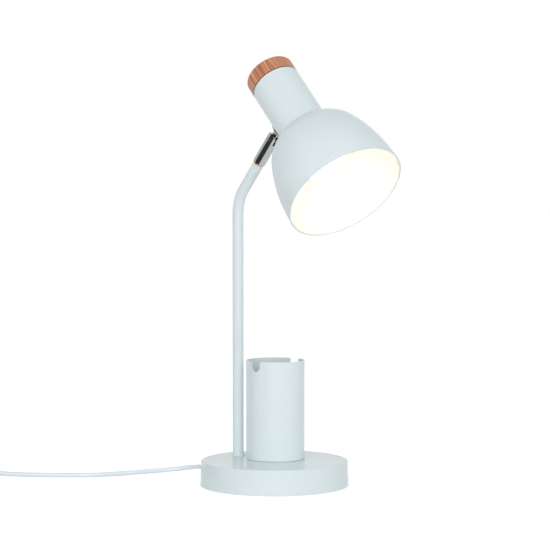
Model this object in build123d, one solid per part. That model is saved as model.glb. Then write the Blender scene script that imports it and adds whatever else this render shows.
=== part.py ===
from build123d import *
from math import atan2, ceil, cos, dist, hypot, pi, radians, sin, sqrt, tan
import os

# Desk lamp with a pen cup on its base. Millimetres. The origin is the middle of the base on the
# surface it stands on, +X is the way the arm leans, +Z is up.

# Fits, named once
FIT = 0.05             # radial room of a pin, thread or tube in its own hole, within one body
RUN = 0.06             # radial room of a shaft in the hole it turns in
FACE_GAP = 0.10        # room between two flat faces that turn on each other
LOOSE = 0.30           # room of a clearance hole, a window or a cut-out
SCREW_ROOM = 0.35      # radial room of a screw in the hole it passes through

# Base
BASE_R = 80.0          # at the cover's lower edge
BASE_TAPER = 1.0       # the top is this much smaller in radius, before its edge is rounded
BASE_H = 27.3
BASE_EDGE_R = 1.5
BASE_INSIDE_R = 0.8    # the same edge inside
COVER_WALL = 1.5
COVER_LIFT = 0.8       # the cover's lower edge hangs this far above the table
PAD_INSET = 7.0        # from the cover's lower edge in to the pad
PAD_T = 2.0
PLATE_T = 1.2
WEIGHT_ROOM = 3.5      # between the weight and the cover's wall
CORD_SPACE = 10.6      # between the plate and the weight
FOOT_BOSS_R = 7.0
FOOT_BOSS_IN = 14.0    # from the weight's rim in to the middles of its three bosses
FOOT_BOSS_ANGLES = (0, 110, 250)
M4_R = 1.95
M4_THREAD_R = M4_R + FIT
M4_CLEAR_R = M4_R + SCREW_ROOM
PLATE_SCREW_HEAD_R = 3.6
PLATE_SCREW_HEAD_T = 1.4
PLATE_SCREW_DEPTH = 9.0

# Pen cup
CUP_X = -7.5
CUP_Y = 9.5
CUP_R = 31.6
CUP_H = 106.9
CUP_WALL = 1.2
CUP_FLOOR = 1.5
CUP_FOOT_ROUND = 1.2
CUP_RIM_ROUND = 0.5
NOTCH_W = 12.0
NOTCH_DEPTH = 11.0
NOTCH_CORNER_R = 1.6   # where the notch opens into the rim
CUP_SCREW_HALF_PITCH = 11.0
CUP_SCREW_HEAD_R = 3.8
CUP_SCREW_HEAD_T = 2.4
CUP_SCREW_DEPTH = 9.0
CUP_WASHER_R = 5.0
CUP_WASHER_T = 0.8

# Arm
ARM_FROM_EDGE = 25.5   # from the cover's lower edge in to the middle of the tube
TUBE_R = 6.0
TUBE_WALL = 1.2
ARM_CORNER_Z = 307.0   # where the upright and the leaning centre lines cross
ARM_LEAN = 38.6        # degrees from upright
ARM_BEND_R = 45.0
PIVOT_REACH = 83.1     # from that corner to the tilt pin
COLLAR_RIM = 1.85      # how far the collar stands out round the tube
COLLAR_T = 1.5
NIPPLE_BORE_R = 3.5
NIPPLE_IN_TUBE = 14.0
NIPPLE_PAST_NUT = 0.4
NUT_FLATS = 14.0
NUT_T = 3.0
FOOT_WASHER_R = 10.0
FOOT_WASHER_T = 1.2
FOOT_POCKET_R = 13.0   # pocket in the weight for the washer and nut
FOOT_POCKET_DEPTH = 6.6

# Swivel
SLEEVE_R = 7.0
SLEEVE_BELOW_PIVOT = 31.5
SLEEVE_SHOULDER = 3.0
SLEEVE_WALL = 1.3
SLEEVE_SOLID_FROM = 12.0   # below the pin, the cavity ends here
SLEEVE_EDGE = 0.5
RING_R = 6.6
RING_T = 1.5
SPINDLE_R = 3.95       # where the sleeve turns
SPINDLE_BORE_R = 2.9
KEEPER_ROOM = 0.4      # between the keeper and the sleeve's wall
KEEPER_T = 3.0
STOP_POST = 1.8        # square post on the keeper
STOP_PIN_R = 0.8
STOP_PIN_REACH = 3.5
TONGUE_T = 4.0
DISC_T = 0.4
TONGUE_END_R = 3.4
SLOT_ROOM = 0.9        # from the tongue's round end down to the slot's floor
DISC_R = 4.0
PIVOT_R = 2.0
PIVOT_HEAD_R = 3.0
PIVOT_HEAD_T = 1.6
HEAD_TURN = -5.7       # degrees about the leaning tube, as the lamp stands in the photograph
HEAD_TILT = 44.4       # degrees of the shade's axis from straight down

# Head, measured along the shade's axis from the rim
NECK_GAP = 15.2        # from the tilt pin to the neck's surface
STUD_AT = 120.2
RIM_R = 64.0
NECK_R = 26.8
SHADE_WALL = 0.8
CREASE_AT = 89.5
SHOULDER_R = 42.0
SHOULDER_FROM = 19.0   # degrees from square to the axis, at the crease
SHOULDER_TURN = 49.0
SHADE_END_AT = 159.8
CAP_LEN = 18.0
CAP_ROUND = 2.5
CAP_RECESS_R = 11.0
CAP_RECESS_DEPTH = 6.0
CAP_JOINT = 0.3        # bevel that makes the joint line between wood and metal
FLANGE_R = 8.8
FLANGE_T = 1.5
SADDLE_R = 8.5
SADDLE_EDGE_T = 1.0
STUD_PAST_NUT = 0.2
CAP_SCREW_IN = 7.8      # from the wood's edge in to its screws
CAP_SCREW_R = 1.5
CAP_SCREW_HEAD_R = 2.8
CAP_SCREW_HEAD_T = 1.6
CAP_SCREW_DEPTH = 8.0

# Lampholder and bulb, along the same axis
HOLDER_ROOM = 8.3      # round the lampholder, for the stud and its nut
HOLDER_BACK_R = 12.0
HOLDER_CAP_LEN = 18.0
HOLDER_PAST_CAP = 4.8  # its mouth lies this far past the lamp's metal cap
SPACER_R = 9.6
SPACER_T = 2.0
HOLDER_WALL = 2.0
HOLDER_FLOOR = 3.0
HOLDER_GROOVES = 4
HOLDER_GROOVE_PITCH = 3.0
HOLDER_GROOVE_W = 1.2
HOLDER_GROOVE_DEPTH = 0.35
HOLDER_NIPPLE_IN = 9.0
SHELL_WALL = 0.5
SHELL_LEN = 22.0
LAMP_THREAD_R = 13.15
LAMP_CAP_WALL = 0.6
LAMP_CAP_LEN = 24.0
LAMP_CONE_LEN = 4.0    # the insulated end below the thread
LAMP_CONTACT_R = 5.0
LAMP_CONTACT_T = 2.0
THREAD_PITCH = 3.6
THREAD_DEPTH = 0.7
SPRING_T = 0.6
SPRING_W = 6.0
BULB_R = 30.0
BULB_NECK_STEP = 0.9   # how far the bulb's neck stands out over its seat in the cap
BULB_BODY_LEN = 47.0
BULB_IN_CAP = 5.0      # length of its seat in the cap
BULB_DOME_LEN = 33.0
BULB_WALL = 1.2
LED_BOARD_R = 22.0
LED_BOARD_T = 1.6
LED_COUNT = 9
LED_SIZE = 2.8
LED_RING_R = 14.0
LED_POST_R = 7.0

# Cord
CORD_R = 2.5
CORD_OVER_PLATE = 5.8  # middle of the cord above the plate
CORD_BEND_R = 6.5      # where it turns up into the foot nipple
CORD_END_BELOW_PIVOT = 18.0
RELIEF_NECK_R = 3.9
RELIEF_FLANGE_R = 5.3
RELIEF_FLANGE_T = 2.0
RELIEF_ROOT_R = 4.9
RELIEF_TIP_R = 3.4
RELIEF_LEN = 20.0
CLAMP_L = 8.0
CLAMP_EDGE = 0.8       # beside the heads of its screws
CLAMP_WALL = 1.5       # under the cord
CLAMP_CORNER_R = 1.5
CLAMP_ROOM = 2.3       # from the relief's inner flange to the clamp
CLAMP_SCREW_AT = 6.3
CLAMP_SCREW_R = 1.45
CLAMP_SCREW_HEAD_R = 2.6
CLAMP_SCREW_HEAD_T = 1.5
CLAMP_SCREW_DEPTH = 6.0

# The free cord's route over the table, points chosen by hand. Both stretches stay as chosen.
LEAD_ROUTE = (
    (-99.94, 0.0, 9.0),
    (-112.8, 0.0, 9.0),
    (-127.7, -1.5, 6.6),
    (-142.8, -8.8, 4.0),
    (-155.0, -21.5, 2.6),
    (-162.7, -45.7, 2.5),
    (-170.8, -69.0, 2.5),
    (-180.8, -90.6, 2.5),
    (-194.8, -107.8, 2.5),
    (-211.0, -122.9, 2.5),
    (-228.3, -137.0, 2.5),
    (-247.2, -149.8, 2.5),
    (-262.1, -162.4, 3.5),
    (-270.16, -169.89, 5.0),
    (-276.74, -176.03, 5.0),
)
RUN_ROUTE = (
    (-314.78, -211.49, 5.0),
    (-330.50, -226.16, 5.0),
    (-333.6, -246.9, 4.0),
    (-323.0, -265.1, 2.9),
    (-287.8, -279.3, 2.6),
    (-258.7, -287.7, 3.4),
    (-242.5, -292.9, 3.4),
)
PLUG_DROP = (6.0, 10.0, 6.0)   # runs of the short stretch from the coil down to the plug

# Coil of the put-away length, two layers that spiral in and out again
COIL_X = -225.1
COIL_Y = -257.8
COIL_IN_R = 20.5
COIL_STEP = 5.6        # from turn to turn
COIL_LAYER = 5.5       # from layer to layer
COIL_TURNS_DOWN = 3.25
COIL_TURNS_UP = 3.29
COIL_LIFT = 0.9        # the tie passes under the coil
COIL_TAIL = 5.0        # straight ends
COIL_START = 251.0     # degrees
TIE_T = 0.6
TIE_W = 6.0
TIE_ROOM = 0.4
TIE_ANGLE = 183.0
TIE_ROUND = 1.5

# Inline switch
SWITCH_L = 62.0
SWITCH_W = 28.0
SWITCH_H = 18.0
SWITCH_SEAM = 5.0
SWITCH_WALL = 1.6
SWITCH_CORNER_R = 9.0
SWITCH_EDGE_R = 2.4
SWITCH_FOOT_R = 1.0
ROCKER_R = 8.5
ROCKER_W = 10.4
ROCKER_SLANT = 8.0     # degrees either side of level
ROCKER_AXLE_R = 1.2
AXLE_BELOW_TOP = 4.0
ROCKER_BELOW = 2.4
AXLE_L = 14.4
EAR_T = 1.6
EAR_W = 5.0
SWITCH_SCREW_X = 19.0
SWITCH_SCREW_Y = 7.6
SWITCH_SCREW_R = 1.2
SWITCH_SCREW_HEAD_R = 2.3
SWITCH_SCREW_HEAD_T = 1.4
SWITCH_SCREW_SINK = 2.2
SWITCH_SCREW_LEN = 10.0
SWITCH_BOSS_R = 3.4
CORD_IN_SWITCH = 5.0
CONTACT_T = 0.8
CONTACT_W = 6.0
CONTACT_L = 9.0
CONTACT_ROOM = 3.0     # from the contacts up to the level rocker
CONTACT_AT = 6.0

# Flat two-pin plug
PLUG_W = 35.3
PLUG_REAR_W = 19.0
PLUG_T = 13.7
PLUG_L = 36.0
PLUG_ROUND = 3.5
PLUG_RELIEF_L = 20.0
PLUG_RELIEF_ROOT_R = 5.0
PLUG_RELIEF_GROOVES = 4
PIN_R = 2.0
PIN_PITCH = 18.6
PIN_OUT = 19.0
PIN_IN = 12.0


def cylinder(radius, low, high, at=(0, 0)):
    """Upright cylinder between two heights."""
    return Pos(at[0], at[1], (low + high) / 2) * Cylinder(radius, high - low)


def tube(outer, inner, low, high, at=(0, 0)):
    """Upright ring between two heights."""
    return cylinder(outer, low, high, at) - cylinder(inner, low - 1, high + 1, at)


def bar_x(radius, start, end, y=0, z=0):
    """Round bar along X."""
    return Pos((start + end) / 2, y, z) * Rot(0, 90, 0) * Cylinder(radius, end - start)


def bar_y(radius, start, end, x=0, z=0):
    """Round bar along Y."""
    return Pos(x, (start + end) / 2, z) * Rot(90, 0, 0) * Cylinder(radius, end - start)


def block(x0, x1, y0, y1, z0, z1):
    """Box between two corners."""
    return Pos((x0 + x1) / 2, (y0 + y1) / 2, (z0 + z1) / 2) * Box(x1 - x0, y1 - y0, z1 - z0)


def hex_prism(flats, low, high, at=(0, 0)):
    """Upright hexagonal prism, measured across its flats."""
    outline = RegularPolygon(radius=flats / 2, side_count=6, major_radius=False)
    return Pos(at[0], at[1], low) * extrude(outline, amount=high - low)


def spun(*corners):
    """Solid of revolution about Z through (radius, height) corners."""
    return revolve(Plane.XZ * Polygon(*corners, align=None), Axis.Z)


def group(solids):
    """Several separate solids as one node."""
    return Compound(children=list(solids))


# Sizes that follow from others
BASE_TOP_R = BASE_R - BASE_TAPER
PAD_R = BASE_R - PAD_INSET
WEIGHT_R = BASE_TOP_R - COVER_WALL - WEIGHT_ROOM
FOOT_BOSS_AT = WEIGHT_R - FOOT_BOSS_IN
ARM_X = ARM_FROM_EDGE - BASE_R
TUBE_BORE_R = TUBE_R - TUBE_WALL
COLLAR_R = TUBE_R + COLLAR_RIM
NIPPLE_R = TUBE_BORE_R - FIT   # thread in the tube, also the hollow studs of swivel and lampholder
THREAD_HOLE_R = NIPPLE_R + FIT
SLEEVE_CAVITY_R = SLEEVE_R - SLEEVE_WALL
KEEPER_R = SLEEVE_CAVITY_R - KEEPER_ROOM
SLOT_W = TONGUE_T + 2 * (DISC_T + FACE_GAP)
CAP_SCREW_AT = NECK_R - CAP_SCREW_IN
HOLDER_R = NECK_R - HOLDER_ROOM
CLAMP_HALF_W = CLAMP_SCREW_AT + CLAMP_SCREW_HEAD_R + LOOSE + CLAMP_EDGE
ROCKER_AXLE_Z = SWITCH_H - AXLE_BELOW_TOP
CONTACT_UP = ROCKER_AXLE_Z - ROCKER_BELOW - SWITCH_WALL - CONTACT_ROOM

# Heights in the base
PLATE_TOP = PAD_T + PLATE_T
WEIGHT_FOOT = PLATE_TOP + CORD_SPACE
WEIGHT_TOP = BASE_H - COVER_WALL
CORD_EXIT_Z = PLATE_TOP + CORD_OVER_PLATE

# Places along the shade's axis, behind the rim
HOLDER_BACK = -SHADE_END_AT + SHADE_WALL + SPACER_T
HOLDER_SEAM = HOLDER_BACK + HOLDER_CAP_LEN
SHELL_FOOT = HOLDER_SEAM + HOLDER_FLOOR
LAMP_CAP_FOOT = SHELL_FOOT + 2 * SPRING_T + LAMP_CONTACT_T
BULB_FOOT = LAMP_CAP_FOOT + LAMP_CAP_LEN
HOLDER_MOUTH = BULB_FOOT + HOLDER_PAST_CAP
BULB_TOP = BULB_FOOT + BULB_BODY_LEN

# Places and directions
ARM_CORNER = Vector(ARM_X, 0, ARM_CORNER_Z)
LEAN = Vector(sin(radians(ARM_LEAN)), 0, cos(radians(ARM_LEAN)))
PIVOT = ARM_CORNER + LEAN * PIVOT_REACH
SLEEVE_FOOT = -SLEEVE_BELOW_PIVOT
RING_TOP = SLEEVE_FOOT - FACE_GAP
TUBE_TOP = RING_TOP - RING_T
ARM_AT = (ARM_X, 0)
CUP_AT = (CUP_X, CUP_Y)
CUP_BASE = BASE_H
CUP_TOP = CUP_BASE + CUP_H

# The fixed frame of the leaning tube, the frame that turns on it, and the head's own frame:
# their Z runs up the tube, up the tube, and out of the shade's mouth.
ARM_FRAME = Plane(origin=PIVOT, x_dir=Vector(LEAN.Z, 0, -LEAN.X), z_dir=LEAN).location
SLEEVE_FRAME = ARM_FRAME * Rot(0, 0, HEAD_TURN)
FOLD = radians(HEAD_TILT + ARM_LEAN)
SHADE_OUT = Vector(sin(FOLD), 0, -cos(FOLD))
STUD_OUT = Vector(cos(FOLD), 0, sin(FOLD))
RIM_CENTRE = STUD_OUT * (NECK_GAP + NECK_R) + SHADE_OUT * STUD_AT
HEAD_FRAME = SLEEVE_FRAME * Plane(origin=RIM_CENTRE, x_dir=STUD_OUT, z_dir=SHADE_OUT).location
TONGUE_FRAME = SLEEVE_FRAME * Plane(
    origin=(0, 0, 0), x_dir=SHADE_OUT, z_dir=STUD_OUT).location


def boss_places():
    """The three places where the plate is screwed to the weight."""
    turns = [radians(angle) for angle in FOOT_BOSS_ANGLES]
    return [(FOOT_BOSS_AT * cos(turn), FOOT_BOSS_AT * sin(turn)) for turn in turns]


def cup_screw_places():
    return [(CUP_X + side * CUP_SCREW_HALF_PITCH, CUP_Y) for side in (-1, 1)]


def clamp_screw_places():
    return [(clamp_start() + CLAMP_L / 2, side * CLAMP_SCREW_AT) for side in (-1, 1)]


def cover_radius(height):
    """Outer radius of the slightly tapered cover."""
    share = (height - COVER_LIFT) / (BASE_H - COVER_LIFT)
    return BASE_R + (BASE_TOP_R - BASE_R) * share


def base_cover():
    outer = spun((0, COVER_LIFT), (BASE_R, COVER_LIFT), (BASE_TOP_R, BASE_H), (0, BASE_H))
    outer = fillet(outer.edges().group_by(Axis.Z)[-1], BASE_EDGE_R)
    inner = spun((0, COVER_LIFT - 1), (BASE_R - COVER_WALL, COVER_LIFT - 1),
                 (BASE_TOP_R - COVER_WALL, BASE_H - COVER_WALL), (0, BASE_H - COVER_WALL))
    inner = fillet(inner.edges().group_by(Axis.Z)[-1], BASE_INSIDE_R)
    cover = outer - inner
    cover -= cylinder(THREAD_HOLE_R + LOOSE, WEIGHT_TOP - 1, BASE_H + 1, ARM_AT)
    for place in cup_screw_places():
        cover -= cylinder(M4_CLEAR_R, WEIGHT_TOP - 1, BASE_H + 1, place)
    return cover - bar_x(RELIEF_NECK_R + FIT, -BASE_R - 2, -BASE_R / 2, z=CORD_EXIT_Z)


def base_weight():
    weight = cylinder(WEIGHT_R, WEIGHT_FOOT, WEIGHT_TOP)
    for place in boss_places():
        weight += cylinder(FOOT_BOSS_R, PLATE_TOP, WEIGHT_FOOT, place)
    for place in boss_places():
        weight -= cylinder(M4_THREAD_R, PLATE_TOP - 1, PLATE_TOP + PLATE_SCREW_DEPTH, place)
    weight -= cylinder(THREAD_HOLE_R + LOOSE, WEIGHT_FOOT - 1, WEIGHT_TOP + 1, ARM_AT)
    weight -= cylinder(FOOT_POCKET_R, WEIGHT_FOOT - 1, WEIGHT_FOOT + FOOT_POCKET_DEPTH, ARM_AT)
    for place in cup_screw_places():
        weight -= cylinder(M4_THREAD_R, WEIGHT_FOOT - 1, WEIGHT_TOP + 1, place)
    for place in clamp_screw_places():
        weight -= cylinder(CLAMP_SCREW_R + FIT, WEIGHT_FOOT - 1,
                           WEIGHT_FOOT + CLAMP_SCREW_DEPTH + 1, place)
    return weight


def base_plate():
    plate_r = cover_radius(PAD_T) - COVER_WALL - LOOSE
    plate = cylinder(plate_r, PAD_T, PLATE_TOP)
    for place in boss_places():
        plate -= cylinder(M4_CLEAR_R, PAD_T - 1, PLATE_TOP + 1, place)
    return plate


def foot_pad():
    pad = cylinder(PAD_R, 0, PAD_T)
    for place in boss_places():
        pad -= cylinder(PLATE_SCREW_HEAD_R + 4 * LOOSE, -1, PAD_T + 1, place)
    return pad


def slotted_screw(shank_r, head_r, head_t, length, down=True):
    """Pan-head screw with a cross recess: its head rests on height 0."""
    head = fillet(cylinder(head_r, 0, head_t).edges().group_by(Axis.Z)[-1], head_t * 0.45)
    screw = head + cylinder(shank_r, -length, 0.01)
    arm = head_r * 0.55
    wide = head_r * 0.2
    deep = head_t * 0.5
    screw -= block(-arm, arm, -wide / 2, wide / 2, deep, head_t + 1)
    screw -= block(-wide / 2, wide / 2, -arm, arm, deep, head_t + 1)
    return screw if down else Rot(180, 0, 0) * screw


def plate_screws():
    screw = slotted_screw(M4_R, PLATE_SCREW_HEAD_R, PLATE_SCREW_HEAD_T,
                          PLATE_T + PLATE_SCREW_DEPTH - 1, down=False)
    return group(Pos(x, y, PAD_T) * screw for x, y in boss_places())


def foot_heights():
    """Heights of the arm's washer and nut in the weight's pocket."""
    washer_top = WEIGHT_FOOT + FOOT_POCKET_DEPTH
    nut_top = washer_top - FOOT_WASHER_T
    return washer_top, nut_top, nut_top - NUT_T


def foot_nipple():
    nut_foot = foot_heights()[2]
    return tube(NIPPLE_R, NIPPLE_BORE_R, nut_foot - NIPPLE_PAST_NUT, BASE_H + NIPPLE_IN_TUBE, ARM_AT)


def foot_washer():
    top, foot, _ = foot_heights()
    return tube(FOOT_WASHER_R, THREAD_HOLE_R, foot, top, ARM_AT)


def foot_nut():
    _, top, foot = foot_heights()
    return hex_prism(NUT_FLATS, foot, top, ARM_AT) - cylinder(THREAD_HOLE_R, foot - 1, top + 1, ARM_AT)


def arm_collar():
    collar = tube(COLLAR_R, TUBE_R + FIT, BASE_H, BASE_H + COLLAR_T, ARM_AT)
    rim = collar.edges().group_by(Axis.Z)[-1].sort_by(SortBy.RADIUS)[-1]
    return fillet(rim, COLLAR_T * 0.5)


def arm_line(foot_z, end_from_pivot):
    """Centre line of the arm, upright, bent once and leaning up to a place near the tilt pin."""
    foot = Vector(ARM_X, 0, foot_z)
    return FilletPolyline(foot, ARM_CORNER, PIVOT + LEAN * end_from_pivot, radius=ARM_BEND_R)


def swept(section, line):
    """Section carried along a line from its start."""
    return sweep(Plane(origin=line @ 0, z_dir=line % 0) * section, path=line)


def arm_tube():
    line = arm_line(BASE_H, TUBE_TOP)
    return swept(Circle(TUBE_R) - Circle(TUBE_BORE_R), line)


def inner_cord():
    start = Vector(-relief_tip(), 0, CORD_EXIT_Z)
    corner = Vector(ARM_X, 0, CORD_EXIT_Z)
    end = PIVOT - LEAN * CORD_END_BELOW_PIVOT
    line = FilletPolyline(start, corner, ARM_CORNER, end, radius=[CORD_BEND_R, ARM_BEND_R])
    return swept(Circle(CORD_R), line)


def relief_seat():
    """How far behind the middle the relief's outer and inner flanges bear on the cover."""
    outside = cover_radius(CORD_EXIT_Z - RELIEF_FLANGE_R) + FIT
    inner_wall = cover_radius(CORD_EXIT_Z + RELIEF_FLANGE_R) - COVER_WALL
    return outside, sqrt(inner_wall ** 2 - RELIEF_FLANGE_R ** 2) - FIT


def relief_tip():
    return relief_seat()[0] + RELIEF_LEN


def cord_strain_relief():
    outside, inside = relief_seat()
    taper = Rot(0, -90, 0) * Pos(0, 0, outside + RELIEF_FLANGE_T) * spun(
        (0, 0), (RELIEF_ROOT_R, 0), (RELIEF_TIP_R, RELIEF_LEN - RELIEF_FLANGE_T),
        (0, RELIEF_LEN - RELIEF_FLANGE_T))
    body = bar_x(RELIEF_NECK_R, -outside - 0.01, -inside + RELIEF_FLANGE_T)
    body += bar_x(RELIEF_FLANGE_R, -inside, -inside + RELIEF_FLANGE_T)
    body += bar_x(RELIEF_FLANGE_R, -outside - RELIEF_FLANGE_T, -outside) + taper
    return Pos(0, 0, CORD_EXIT_Z) * (body - bar_x(CORD_R + FIT, -outside - RELIEF_LEN - 1, 0))


def clamp_start():
    """Where the clamp begins, a little inside the relief's inner flange."""
    return -relief_seat()[1] + RELIEF_FLANGE_T + CLAMP_ROOM


def cord_clamp():
    near = clamp_start()
    clamp = block(near, near + CLAMP_L, -CLAMP_HALF_W, CLAMP_HALF_W,
                  CORD_EXIT_Z - CORD_R - CLAMP_WALL, WEIGHT_FOOT)
    clamp = fillet(clamp.edges().filter_by(Axis.Z), CLAMP_CORNER_R)
    clamp -= bar_x(CORD_R + FIT, near - 1, near + CLAMP_L + 1, z=CORD_EXIT_Z)
    for place in clamp_screw_places():
        clamp -= cylinder(CLAMP_SCREW_R + LOOSE, 0, BASE_H, place)
        clamp -= cylinder(CLAMP_SCREW_HEAD_R + LOOSE, 0, CORD_EXIT_Z - 1, place)
    return clamp


def clamp_screws():
    grip = WEIGHT_FOOT - CORD_EXIT_Z + 1
    screw = slotted_screw(CLAMP_SCREW_R, CLAMP_SCREW_HEAD_R, CLAMP_SCREW_HEAD_T,
                          grip + CLAMP_SCREW_DEPTH, down=False)
    return group(Pos(x, y, CORD_EXIT_Z - 1) * screw for x, y in clamp_screw_places())


def notch_corners():
    """What rounds the two top corners of both notches."""
    half = NOTCH_W / 2 + NOTCH_CORNER_R
    low = CUP_TOP - NOTCH_CORNER_R
    near, far = CUP_Y - 2 * CUP_R, CUP_Y + 2 * CUP_R
    opening = block(CUP_X - half, CUP_X + half, near, far, low, CUP_TOP + 1)
    for side in (-1, 1):
        opening -= bar_y(NOTCH_CORNER_R, near, far, CUP_X + side * half, low)
    return opening


def pen_cup():
    cup = cylinder(CUP_R, CUP_BASE, CUP_TOP, CUP_AT)
    cup = fillet(cup.edges().group_by(Axis.Z)[0], CUP_FOOT_ROUND)
    cup -= cylinder(CUP_R - CUP_WALL, CUP_BASE + CUP_FLOOR, CUP_TOP + 1, CUP_AT)
    cup = fillet(cup.edges().group_by(Axis.Z)[-1], CUP_RIM_ROUND)
    notch_z = CUP_TOP - NOTCH_DEPTH + NOTCH_W / 2
    cup -= bar_y(NOTCH_W / 2, CUP_Y - 2 * CUP_R, CUP_Y + 2 * CUP_R, CUP_X, notch_z)
    cup -= block(CUP_X - NOTCH_W / 2, CUP_X + NOTCH_W / 2, CUP_Y - 2 * CUP_R, CUP_Y + 2 * CUP_R,
                 notch_z, CUP_TOP + 1)
    cup -= notch_corners()
    for place in cup_screw_places():
        cup -= cylinder(M4_CLEAR_R, CUP_BASE - 1, CUP_BASE + CUP_FLOOR + 1, place)
    return cup


def cup_washers():
    foot = CUP_BASE + CUP_FLOOR
    return group(tube(CUP_WASHER_R, M4_R + FIT, foot, foot + CUP_WASHER_T, place)
                 for place in cup_screw_places())


def cup_screws():
    seat = CUP_BASE + CUP_FLOOR + CUP_WASHER_T
    screw = slotted_screw(M4_R, CUP_SCREW_HEAD_R, CUP_SCREW_HEAD_T,
                          seat - WEIGHT_TOP + CUP_SCREW_DEPTH)
    return group(Pos(x, y, seat) * screw for x, y in cup_screw_places())


def swivel_heights():
    """Along the leaning tube from the tilt pin: the keeper's seat and the spindle's top."""
    seat = SLEEVE_FOOT + SLEEVE_SHOULDER + FACE_GAP
    return seat, seat + KEEPER_T


def swivel_spindle():
    """Hollow turned part: a thread in the tube's end and a thinner shank for the sleeve."""
    spindle = cylinder(NIPPLE_R, TUBE_TOP - NIPPLE_IN_TUBE, TUBE_TOP)
    spindle += cylinder(SPINDLE_R, TUBE_TOP - 1, swivel_heights()[1])
    return ARM_FRAME * (spindle - cylinder(SPINDLE_BORE_R, TUBE_TOP - NIPPLE_IN_TUBE - 1, 0))


def brass_ring():
    ring = tube(RING_R, SPINDLE_R + FIT, TUBE_TOP, RING_TOP)
    outer = ring.edges().filter_by(GeomType.CIRCLE).group_by(SortBy.RADIUS)[-1]
    return ARM_FRAME * fillet(outer, RING_T * 0.25)


def swivel_keeper():
    """Round nut that keeps the sleeve on the spindle, with the post that limits its turn."""
    seat, top = swivel_heights()
    keeper = cylinder(KEEPER_R, seat, top)
    half = STOP_POST / 2
    keeper += block(-KEEPER_R, 0, -half, half, top - 0.01, top + STOP_POST) & cylinder(
        KEEPER_R, seat, top + STOP_POST)
    return ARM_FRAME * (keeper - cylinder(SPINDLE_R + FIT, seat - 1, top + STOP_POST + 1))


def stop_height():
    return swivel_heights()[1] + STOP_POST / 2 + FACE_GAP


def stop_pin():
    return SLEEVE_FRAME * bar_x(STOP_PIN_R, STOP_PIN_REACH, SLEEVE_R - FIT, z=stop_height())


def sleeve_bush():
    """Brass bush in the sleeve's foot, the bearing of the turning joint."""
    bush = tube(SLEEVE_CAVITY_R - FIT, SPINDLE_R + RUN, SLEEVE_FOOT, SLEEVE_FOOT + SLEEVE_SHOULDER)
    return SLEEVE_FRAME * bush


def swivel_sleeve():
    sleeve = cylinder(SLEEVE_R, SLEEVE_FOOT, SLEEVE_R)
    sleeve = fillet(sleeve.edges().group_by(Axis.Z)[0], SLEEVE_EDGE)
    ears = bar_y(SLEEVE_R, -SLEEVE_R - 1, SLEEVE_R + 1)
    ears += block(-SLEEVE_R, SLEEVE_R, -SLEEVE_R - 1, SLEEVE_R + 1, SLEEVE_FOOT - 1, 0)
    sleeve &= ears
    slot_foot = -TONGUE_END_R - SLOT_ROOM
    sleeve -= block(-SLEEVE_R - 1, SLEEVE_R + 1, -SLOT_W / 2, SLOT_W / 2, slot_foot, SLEEVE_R + 1)
    sleeve -= cylinder(SLEEVE_CAVITY_R, SLEEVE_FOOT - 1, -SLEEVE_SOLID_FROM)
    sleeve -= cylinder(SLOT_W / 2, -SLEEVE_SOLID_FROM - 1, slot_foot)
    sleeve -= bar_y(PIVOT_R + FIT, -SLEEVE_R - 1, SLEEVE_R + 1)
    sleeve -= bar_y(PIVOT_HEAD_R + FIT, -SLEEVE_R - 1, -SLEEVE_R + PIVOT_HEAD_T)
    sleeve -= bar_x(STOP_PIN_R + FIT, SLEEVE_CAVITY_R - 1, SLEEVE_R + 1, z=stop_height())
    return SLEEVE_FRAME * sleeve


def friction_discs():
    """One thin disc on each side of the tongue, filling the slot but for the running room."""
    discs = []
    for side in (-1, 1):
        start = side * (SLOT_W / 2 - DISC_T)
        end = side * SLOT_W / 2
        disc = bar_y(DISC_R, min(start, end), max(start, end))
        discs.append(disc - bar_y(PIVOT_R + FIT, -SLOT_W, SLOT_W))
    return SLEEVE_FRAME * group(discs)


def pivot_screw():
    shell = cylinder(SLEEVE_R - FIT, -SLEEVE_R, SLEEVE_R)
    screw = bar_y(PIVOT_R, -SLEEVE_R + PIVOT_HEAD_T - 0.01, SLEEVE_R) & shell
    screw += bar_y(PIVOT_HEAD_R, -SLEEVE_R, -SLEEVE_R + PIVOT_HEAD_T) & shell
    slot = block(-PIVOT_HEAD_R, PIVOT_HEAD_R, -SLEEVE_R - 1, -SLEEVE_R + PIVOT_HEAD_T / 2, -0.35, 0.35)
    return SLEEVE_FRAME * (screw - slot)


def swivel_tongue():
    """Tongue, flange and hollow stud in one: the flange is hollowed to sit on the round neck."""
    neck = bar_x(NECK_R + FIT, -FLANGE_R - 1, FLANGE_R + 1, z=NECK_GAP + NECK_R)
    seat = NECK_GAP - FLANGE_T
    flange = cylinder(FLANGE_R, seat, NECK_GAP + FLANGE_R ** 2 / NECK_R) - neck
    blade = bar_y(TONGUE_END_R, -TONGUE_T / 2, TONGUE_T / 2)
    blade += block(-TONGUE_END_R, TONGUE_END_R, -TONGUE_T / 2, TONGUE_T / 2, 0, seat + 0.5)
    stud = cylinder(NIPPLE_R, seat + 0.5, NECK_GAP + stud_depth())
    bore = cylinder(NIPPLE_BORE_R, seat - 0.01, NECK_GAP + stud_depth() + 1)
    bore -= block(-TONGUE_END_R, TONGUE_END_R, -TONGUE_T / 2, TONGUE_T / 2, seat - 1, seat + 0.5)
    tongue = flange + stud + blade - bore - bar_y(PIVOT_R + RUN, -TONGUE_T, TONGUE_T)
    return TONGUE_FRAME * tongue


def saddle_depth():
    """From the neck's surface in to the flat face of the inner saddle."""
    inner = NECK_R - SHADE_WALL
    return NECK_R - sqrt(inner ** 2 - SADDLE_R ** 2) + SADDLE_EDGE_T


def stud_depth():
    return saddle_depth() + NUT_T + STUD_PAST_NUT


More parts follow.
